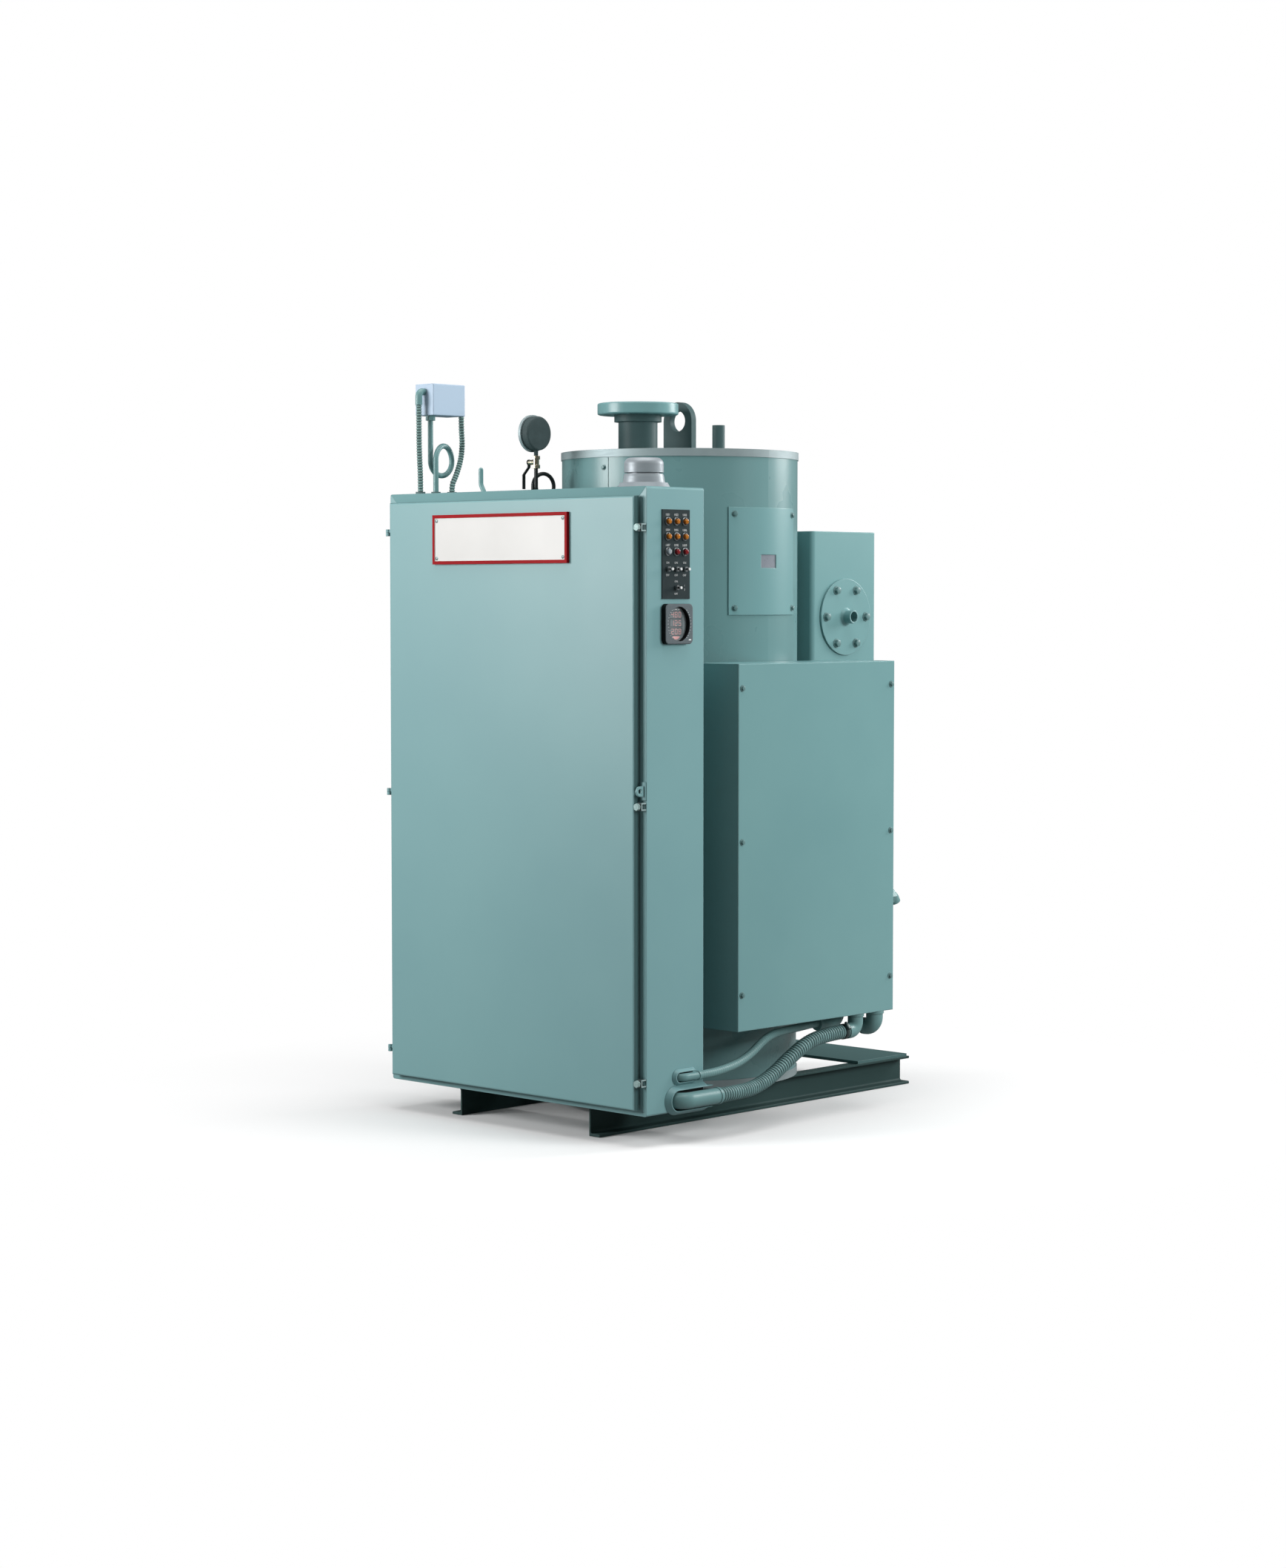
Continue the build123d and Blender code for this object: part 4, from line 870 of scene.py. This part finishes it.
# %% [markdown]
# ## Marks on the lamp panel
# The panel is engraved with small white marks: plain numbers over the lamps, and ON and OFF at the
# switches. Text is made as a font curve, turned into a mesh, and only then set in place on the panel.

# %% Helpers for words and bars
letter_depth = 0.0001


def plane_at(spot, right=(0, 1, 0), up=(0, 0, 1)):
    right, up = Vector(right), Vector(up)
    out = right.cross(up)
    return Matrix.Translation(spot) @ Matrix((right, up, out)).transposed().to_4x4()


def add_word(shape, word, size, place):
    curve = bpy.data.curves.new("word", "FONT")
    curve.body = word
    curve.size = size
    curve.align_x = curve.align_y = "CENTER"
    curve.extrude = letter_depth
    curve.resolution_u = 3
    letters = bpy.data.objects.new("word", curve)
    mesh = bpy.data.meshes.new_from_object(letters)
    join(shape, mesh, place)
    bpy.data.objects.remove(letters)
    bpy.data.curves.remove(curve)
    bpy.data.meshes.remove(mesh)


def add_bar(shape, width, height, depth, place):
    bar = bmesh.ops.create_cube(shape, size=1.0)["verts"]
    bmesh.ops.scale(shape, vec=(width, height, depth), verts=bar)
    bmesh.ops.transform(shape, matrix=place, verts=bar)


# %% Marks of the lamp panel
bezel_low, bezel_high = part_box("lamp_bezels")
bezel_radius, toggle_radius = 0.010, 0.006
lamp_columns = [bezel_low.y + bezel_radius, (bezel_low.y + bezel_high.y) / 2, bezel_high.y - bezel_radius]
lamp_rows = [bezel_high.z - bezel_radius, (bezel_low.z + bezel_high.z) / 2, bezel_low.z + bezel_radius]
upper_toggles = toggle_high.z - toggle_radius
lower_toggle = toggle_low.z + toggle_radius
mark_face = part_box("lamp_panel")[1].x + 0.0001
first_number = 1001
number_size, number_rise = 0.0080, 0.0155
word_size, word_rise = 0.0070, 0.0150
step_size, step_rise = 0.0065, 0.0050
panel_marks = bmesh.new()


def mark(word, size, y, z):
    add_word(panel_marks, word, size, plane_at((mark_face, y, z)))


for row, z in enumerate(lamp_rows):
    for column, y in enumerate(lamp_columns):
        mark(str(first_number + 3 * row + column), number_size, y, z + number_rise)
for y, z in [(y, upper_toggles) for y in lamp_columns] + [(lamp_columns[1], lower_toggle)]:
    mark("ON", word_size, y, z + word_rise)
    mark("OFF", word_size, y, z - word_rise)
mark("1", step_size, lamp_columns[2], lower_toggle + step_rise)
mark("2", step_size, lamp_columns[2], lower_toggle - step_rise)
settle(panel_marks, "lamp_panel_marks", mark_white)

# %% [markdown]
# ## Digital meter
# The meter shows three framed rows of pale red figures in its window. Each figure has up to seven bars, as
# on a real display, so a short table of which bars are lit is enough, and the values are plain numbers.

# %% Rows of figures on the meter
digit_width, digit_height, digit_bar, digit_pitch = 0.0078, 0.0122, 0.0015, 0.0128
row_pitch, row_width, row_height, row_line = 0.0205, 0.0440, 0.0172, 0.0009
rows_rise, figure_depth, frame_depth = 0.002, 0.0003, 0.0004
lit_bars = {"0": "abcdef", "1": "bc", "2": "abged", "4": "fgbc", "5": "afgcd", "8": "abcdefg"}
bar_places = {
    "a": (0.0, 0.5, True), "g": (0.0, 0.0, True), "d": (0.0, -0.5, True), "f": (-0.5, 0.25, False),
    "b": (0.5, 0.25, False), "e": (-0.5, -0.25, False), "c": (0.5, -0.25, False),
}
figures = bmesh.new()
row_frames = bmesh.new()


def meter_place(across, up, depth=meter_floor + figure_depth):
    return plane_at((depth, meter_middle.y + across, meter_middle.z + up))


for row, number in enumerate(("480", "125", "208")):
    row_up = (1 - row) * row_pitch + rows_rise
    for column, figure in enumerate(number):
        for bar in lit_bars[figure]:
            across, up, level = bar_places[bar]
            size = (digit_width, digit_bar) if level else (digit_bar, digit_height / 2)
            digit_middle = (column - 1) * digit_pitch
            place = meter_place(digit_middle + across * digit_width, row_up + up * digit_height)
            add_bar(figures, *size, figure_depth, place)
    for edge in (-0.5, 0.5):
        add_bar(row_frames, row_width, row_line, frame_depth, meter_place(0.0, row_up + edge * row_height))
        add_bar(row_frames, row_line, row_height, frame_depth, meter_place(edge * row_width, row_up))
figure_red = plastic("figure_red", ((226, 178, 176), (208, 150, 150)), 0.4, 200.0, 0.05)
settle(figures, "meter_figures", figure_red)
frame_grey = plastic("frame_grey", ((62, 70, 73), (52, 60, 63)), 0.5, 200.0, 0.05)
settle(row_frames, "meter_row_frames", frame_grey)

# %% [markdown]
# Round the window the case is printed with short ticks, and a pale red tab sits at the window's foot. The
# ticks follow the ellipse of the window by its cosine and sine; the tab is a flattened disc, cut in half by
# a plane.

# %% Ticks and tab of the meter
ticks_half_width, ticks_half_height = 0.0402, 0.0436
tick_bar = (0.0030, 0.0009, 0.0002)
label_bar = (0.0085, 0.0030, 0.0002)
dash_bar = (0.0060, 0.0018, 0.0003)
meter_marks = bmesh.new()
for side in (-ticks_half_width, ticks_half_width):
    for step in range(11):
        angle = radians(-50.0 + 10.0 * step)
        place = meter_place(side * cos(angle), ticks_half_height * sin(angle), meter_high.x)
        add_bar(meter_marks, *tick_bar, place)
add_bar(meter_marks, *label_bar, meter_place(0.0370, -0.0385, meter_high.x))
for across in (-0.010, 0.0, 0.010):
    add_bar(meter_marks, *dash_bar, meter_place(across, 0.0350))
settle(meter_marks, "meter_marks", mark_white)
tab_radius, tab_flatness, tab_thickness, tab_drop = 0.0125, 0.62, 0.0004, 0.0300
tab = bmesh.new()
bmesh.ops.create_circle(tab, cap_ends=True, segments=36, radius=tab_radius)
bmesh.ops.scale(tab, vec=(1.0, tab_flatness, 1.0), verts=tab.verts)
bmesh.ops.bisect_plane(tab, geom=tab.verts[:] + tab.edges[:] + tab.faces[:], plane_co=(0, 0, 0),
                       plane_no=(0, 1, 0), clear_outer=True)
bmesh.ops.solidify(tab, geom=tab.faces[:], thickness=tab_thickness)
tab_place = meter_place(0.0, -tab_drop, meter_floor + tab_thickness)
bmesh.ops.transform(tab, matrix=tab_place, verts=tab.verts)
face_out(tab)
settle(tab, "meter_tab", figure_red)

# %% [markdown]
# ## Gauge dial
# The pressure gauge looks away from the camera, but the part is seen from all sides. Its dial is a white
# disc with ticks, plain numbers and a needle, set behind the bezel.

# %% Dial, ticks and needle
case_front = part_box("gauge_case")[0].x
ring_low, ring_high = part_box("gauge_bezel")
gauge_middle = (ring_low + ring_high) / 2
dial_gap, dial_thickness, dial_radius = 0.0002, 0.0010, 0.0385
mark_plane = case_front - dial_gap - dial_thickness - 0.0001
dial = turned([(0.0, 0.0), (dial_radius, 0.0), (dial_radius, dial_thickness), (0.0, dial_thickness)], 48)
dial_spot = (case_front - dial_gap, gauge_middle.y, gauge_middle.z)
bmesh.ops.transform(dial, matrix=facing(dial_spot, (-1, 0, 0)), verts=dial.verts)
settle(dial, "gauge_dial", panel_white)
long_tick, short_tick, tick_depth = (0.0009, 0.0060), (0.0005, 0.0034), 0.0002
tick_end, number_radius, dial_number_size = 0.0355, 0.0245, 0.0062
needle_bar, needle_middle, needle_lift = (0.0013, 0.038, 0.0004), 0.011, 0.0008
dial_marks = bmesh.new()


def dial_place(angle, radius):
    return Vector((mark_plane, gauge_middle.y - radius * cos(angle), gauge_middle.z + radius * sin(angle)))


def radial_bar(angle, radius, bar, lift=0.0):
    outward = Vector((0.0, -cos(angle), sin(angle)))
    spot = dial_place(angle, radius) - Vector((lift, 0.0, 0.0))
    add_bar(dial_marks, *bar, plane_at(spot, outward.cross(Vector((-1.0, 0.0, 0.0))), outward))


for step in range(31):
    angle = radians(225.0 - 9.0 * step)
    numbered = step % 5 == 0
    width, length = long_tick if numbered else short_tick
    radial_bar(angle, tick_end - length / 2, (width, length, tick_depth))
    if numbered:
        place = plane_at(dial_place(angle, number_radius), (0, -1, 0))
        add_word(dial_marks, str(10 * step), dial_number_size, place)
radial_bar(radians(198.0), needle_middle, needle_bar, needle_lift)
settle(dial_marks, "gauge_dial_marks", black_pipe)

# %% [markdown]
# ## Dark sheets in the hoods
# Each hood on the cabinet's side has a dark sheet at its bottom, round the elbow: painted shade for the
# deep gap between the elbow and the hood. Its outline is a slot, half a circle and two straight sides, so a
# half circle of points is closed by two corners, filled as one face and given a thickness.

# %% Dark sheets in the hoods, painted shade
shade_sheet_lift, shade_sheet_thickness = 0.0008, 0.0006


def shade_sheet(name, radius, middle, end):
    outline = [(radius * sin(radians(angle)), -radius * cos(radians(angle))) for angle in range(-90, 91, 6)]
    outline += [(radius, end - middle.y), (-radius, end - middle.y)]
    corners = [(side_high.x + shade_sheet_lift, middle.y + along, middle.z + up) for up, along in outline]
    sheet = bmesh.new()
    sheet.faces.new([sheet.verts.new(corner) for corner in corners])
    face_out(sheet)
    bmesh.ops.solidify(sheet, geom=sheet.faces[:], thickness=shade_sheet_thickness)
    face_out(sheet)
    settle(sheet, name, gasket_rubber)


shade_sheet("large_hood_shade_sheet", 0.0248, cabinet_corner + Vector((0.0, 0.100, 0.106)), side_high.y - 0.001)
shade_sheet("small_hood_shade_sheet", 0.0116, cabinet_corner + Vector((0.0, 0.110, 0.162)), cabinet_corner.y + 0.164)

# %% [markdown]
# ## Hose clamp
# The big hose has a worm-drive clamp at the terminal box. Its band is a turned profile set on the spline's
# last stations, so it sits square to the hose wherever the hose is led. A small rounded block on the band
# holds the screw, whose six-sided head shows at its end.

# %% Clamp on the big hose
band_radius, band_width, band_lip, band_from_end = 0.0203, 0.012, 0.003, 0.012
band_half, band_flat = band_width / 2, band_width * 0.32
band_inner, band_shoulder = band_radius - band_lip, band_radius - band_lip * 0.3
band_profile = [
    (band_inner, -band_half), (band_shoulder, -band_half), (band_radius, -band_flat),
    (band_radius, band_flat), (band_shoulder, band_half), (band_inner, band_half),
]
large_points = conduit_lines["large_power_hose"]
band_place = facing(*point_at(large_points, line_length(large_points) - band_from_end))
clamp_band = repeat(turned(band_profile, 48), [band_place])
clamp_steel = metal("clamp_steel", ((74, 88, 88), (54, 66, 66)), 0.40, (300.0,) * 3, 0.10, 0.6)
settle(clamp_band, "large_hose_clamp", clamp_steel)
housing_size, housing_round, housing_angle = (0.008, 0.017, 0.011), 0.0016, -40.0
head_place = Matrix.Translation((0.0, -0.0110, 0.0)) @ Matrix.Rotation(pi / 2, 4, "X")
housing = bmesh.new()
bmesh.ops.create_cube(housing, size=1.0, matrix=Matrix.Diagonal((*housing_size, 1.0)))
bmesh.ops.bevel(housing, geom=housing.edges[:], offset=housing_round, segments=3, profile=0.5,
                affect="EDGES", material=-1)
bmesh.ops.create_cone(housing, cap_ends=True, segments=6, radius1=0.0037, radius2=0.0034, depth=0.006,
                      matrix=head_place)
housing_turn = Matrix.Rotation(radians(housing_angle), 4, "Z") @ Matrix.Translation((0.0225, 0.0, 0.0))
clamp_screw = repeat(housing, [band_place @ housing_turn])
settle(clamp_screw, "large_hose_clamp_screw", clamp_steel)

# %% [markdown]
# ## Studio
# The photo has a white ground with one soft shadow. The floor is white for the camera far from the boiler
# and takes shadow near it, and the world is white for the camera while it lights the boiler at a lower
# level. Four broad lamps give the slow gradient on the door and the bright strip down the vessel. The fill
# lamp is left out of mirrored light, so that it adds no second strip.

# %% Floor
floor_size, floor_drop = 14.0, 0.0006
shadow_reach, white_reach, least_white = 0.66, 1.65, 0.03
floor_grey, floor_white = (0.24, 0.24, 0.24, 1.0), (0.85, 0.85, 0.85, 1.0)
floor_shape = bmesh.new()
bmesh.ops.create_grid(floor_shape, x_segments=1, y_segments=1, size=floor_size)
floor_mesh = as_mesh(floor_shape, "studio_floor")
floor = bpy.data.objects.new("studio_floor", floor_mesh)
floor_mesh.transform(Matrix.Translation((0.0, 0.0, -floor_drop)))
scene.collection.objects.link(floor)


def seen_rays(tree):
    path = tree.nodes.new("ShaderNodeLightPath")
    return maths(tree, "MAXIMUM", path.outputs["Is Camera Ray"], path.outputs["Is Transmission Ray"])


def mix_shaders(tree, share, first, second, output):
    mix = tree.nodes.new("ShaderNodeMixShader")
    for socket, source in zip(mix.inputs, (share, first.outputs[0], second.outputs[0])):
        tree.links.new(source, socket)
    tree.links.new(mix.outputs[0], tree.nodes.new(output).inputs["Surface"])


floor_finish = bpy.data.materials.new("studio_floor")
floor_finish.use_nodes = True
floor_tree = floor_finish.node_tree
floor_tree.nodes.clear()
floor_distance = floor_tree.nodes.new("ShaderNodeVectorMath")
floor_distance.operation = "LENGTH"
floor_tree.links.new(floor_tree.nodes.new("ShaderNodeTexCoord").outputs["Object"], floor_distance.inputs[0])
far_share = remap(floor_tree, floor_distance.outputs["Value"], shadow_reach, white_reach, least_white, 1.0)
seen = seen_rays(floor_tree)
diffuse = floor_tree.nodes.new("ShaderNodeBsdfDiffuse")
set_input(floor_tree, diffuse.inputs["Color"], blend_colour(floor_tree, seen, floor_grey, floor_white))
glow = floor_tree.nodes.new("ShaderNodeEmission")
glow_share = maths(floor_tree, "MULTIPLY", far_share, seen)
mix_shaders(floor_tree, glow_share, diffuse, glow, "ShaderNodeOutputMaterial")
floor_mesh.materials.append(floor_finish)
print("floor at", round(floor_mesh.vertices[0].co.z, 4))

# %% World
ambient_strength = 0.125
world = bpy.data.worlds.new("studio")
world.use_nodes = True
world_tree = world.node_tree
world_tree.nodes.clear()
ambient = world_tree.nodes.new("ShaderNodeBackground")
ambient.inputs["Strength"].default_value = ambient_strength
backdrop = world_tree.nodes.new("ShaderNodeBackground")
for light in (ambient, backdrop):
    light.inputs["Color"].default_value = (1.0, 1.0, 1.0, 1.0)
mix_shaders(world_tree, seen_rays(world_tree), ambient, backdrop, "ShaderNodeOutputWorld")
scene.world = world
print("ambient strength", ambient_strength)


# %% Lamps
def softbox(name, spot, target, size, power, mirrored=True):
    lamp = bpy.data.lights.new(name, "AREA")
    lamp.shape = "SQUARE"
    lamp.size = size
    lamp.energy = power
    holder = bpy.data.objects.new(name, lamp)
    holder.visible_glossy = mirrored
    holder.location = spot
    holder.rotation_euler = (Vector(target) - Vector(spot)).to_track_quat("-Z", "Y").to_euler()
    scene.collection.objects.link(holder)


softbox("front_softbox", (-2.2, -4.2, 2.15), (0.0, -0.6, 1.3), 2.2, 199.0)
softbox("right_softbox", (1.8, 4.5, 2.9), (0.1, 0.0, 1.2), 2.0, 160.0)
softbox("fill_softbox", (4.7, 1.4, 2.2), (0.3, 0.0, 1.1), 2.0, 174.0, False)
softbox("top_softbox", (0.4, -0.4, 4.8), (0.0, 0.0, 0.0), 3.6, 136.0)
scene.view_settings.view_transform = "Standard"
print("lamps placed")
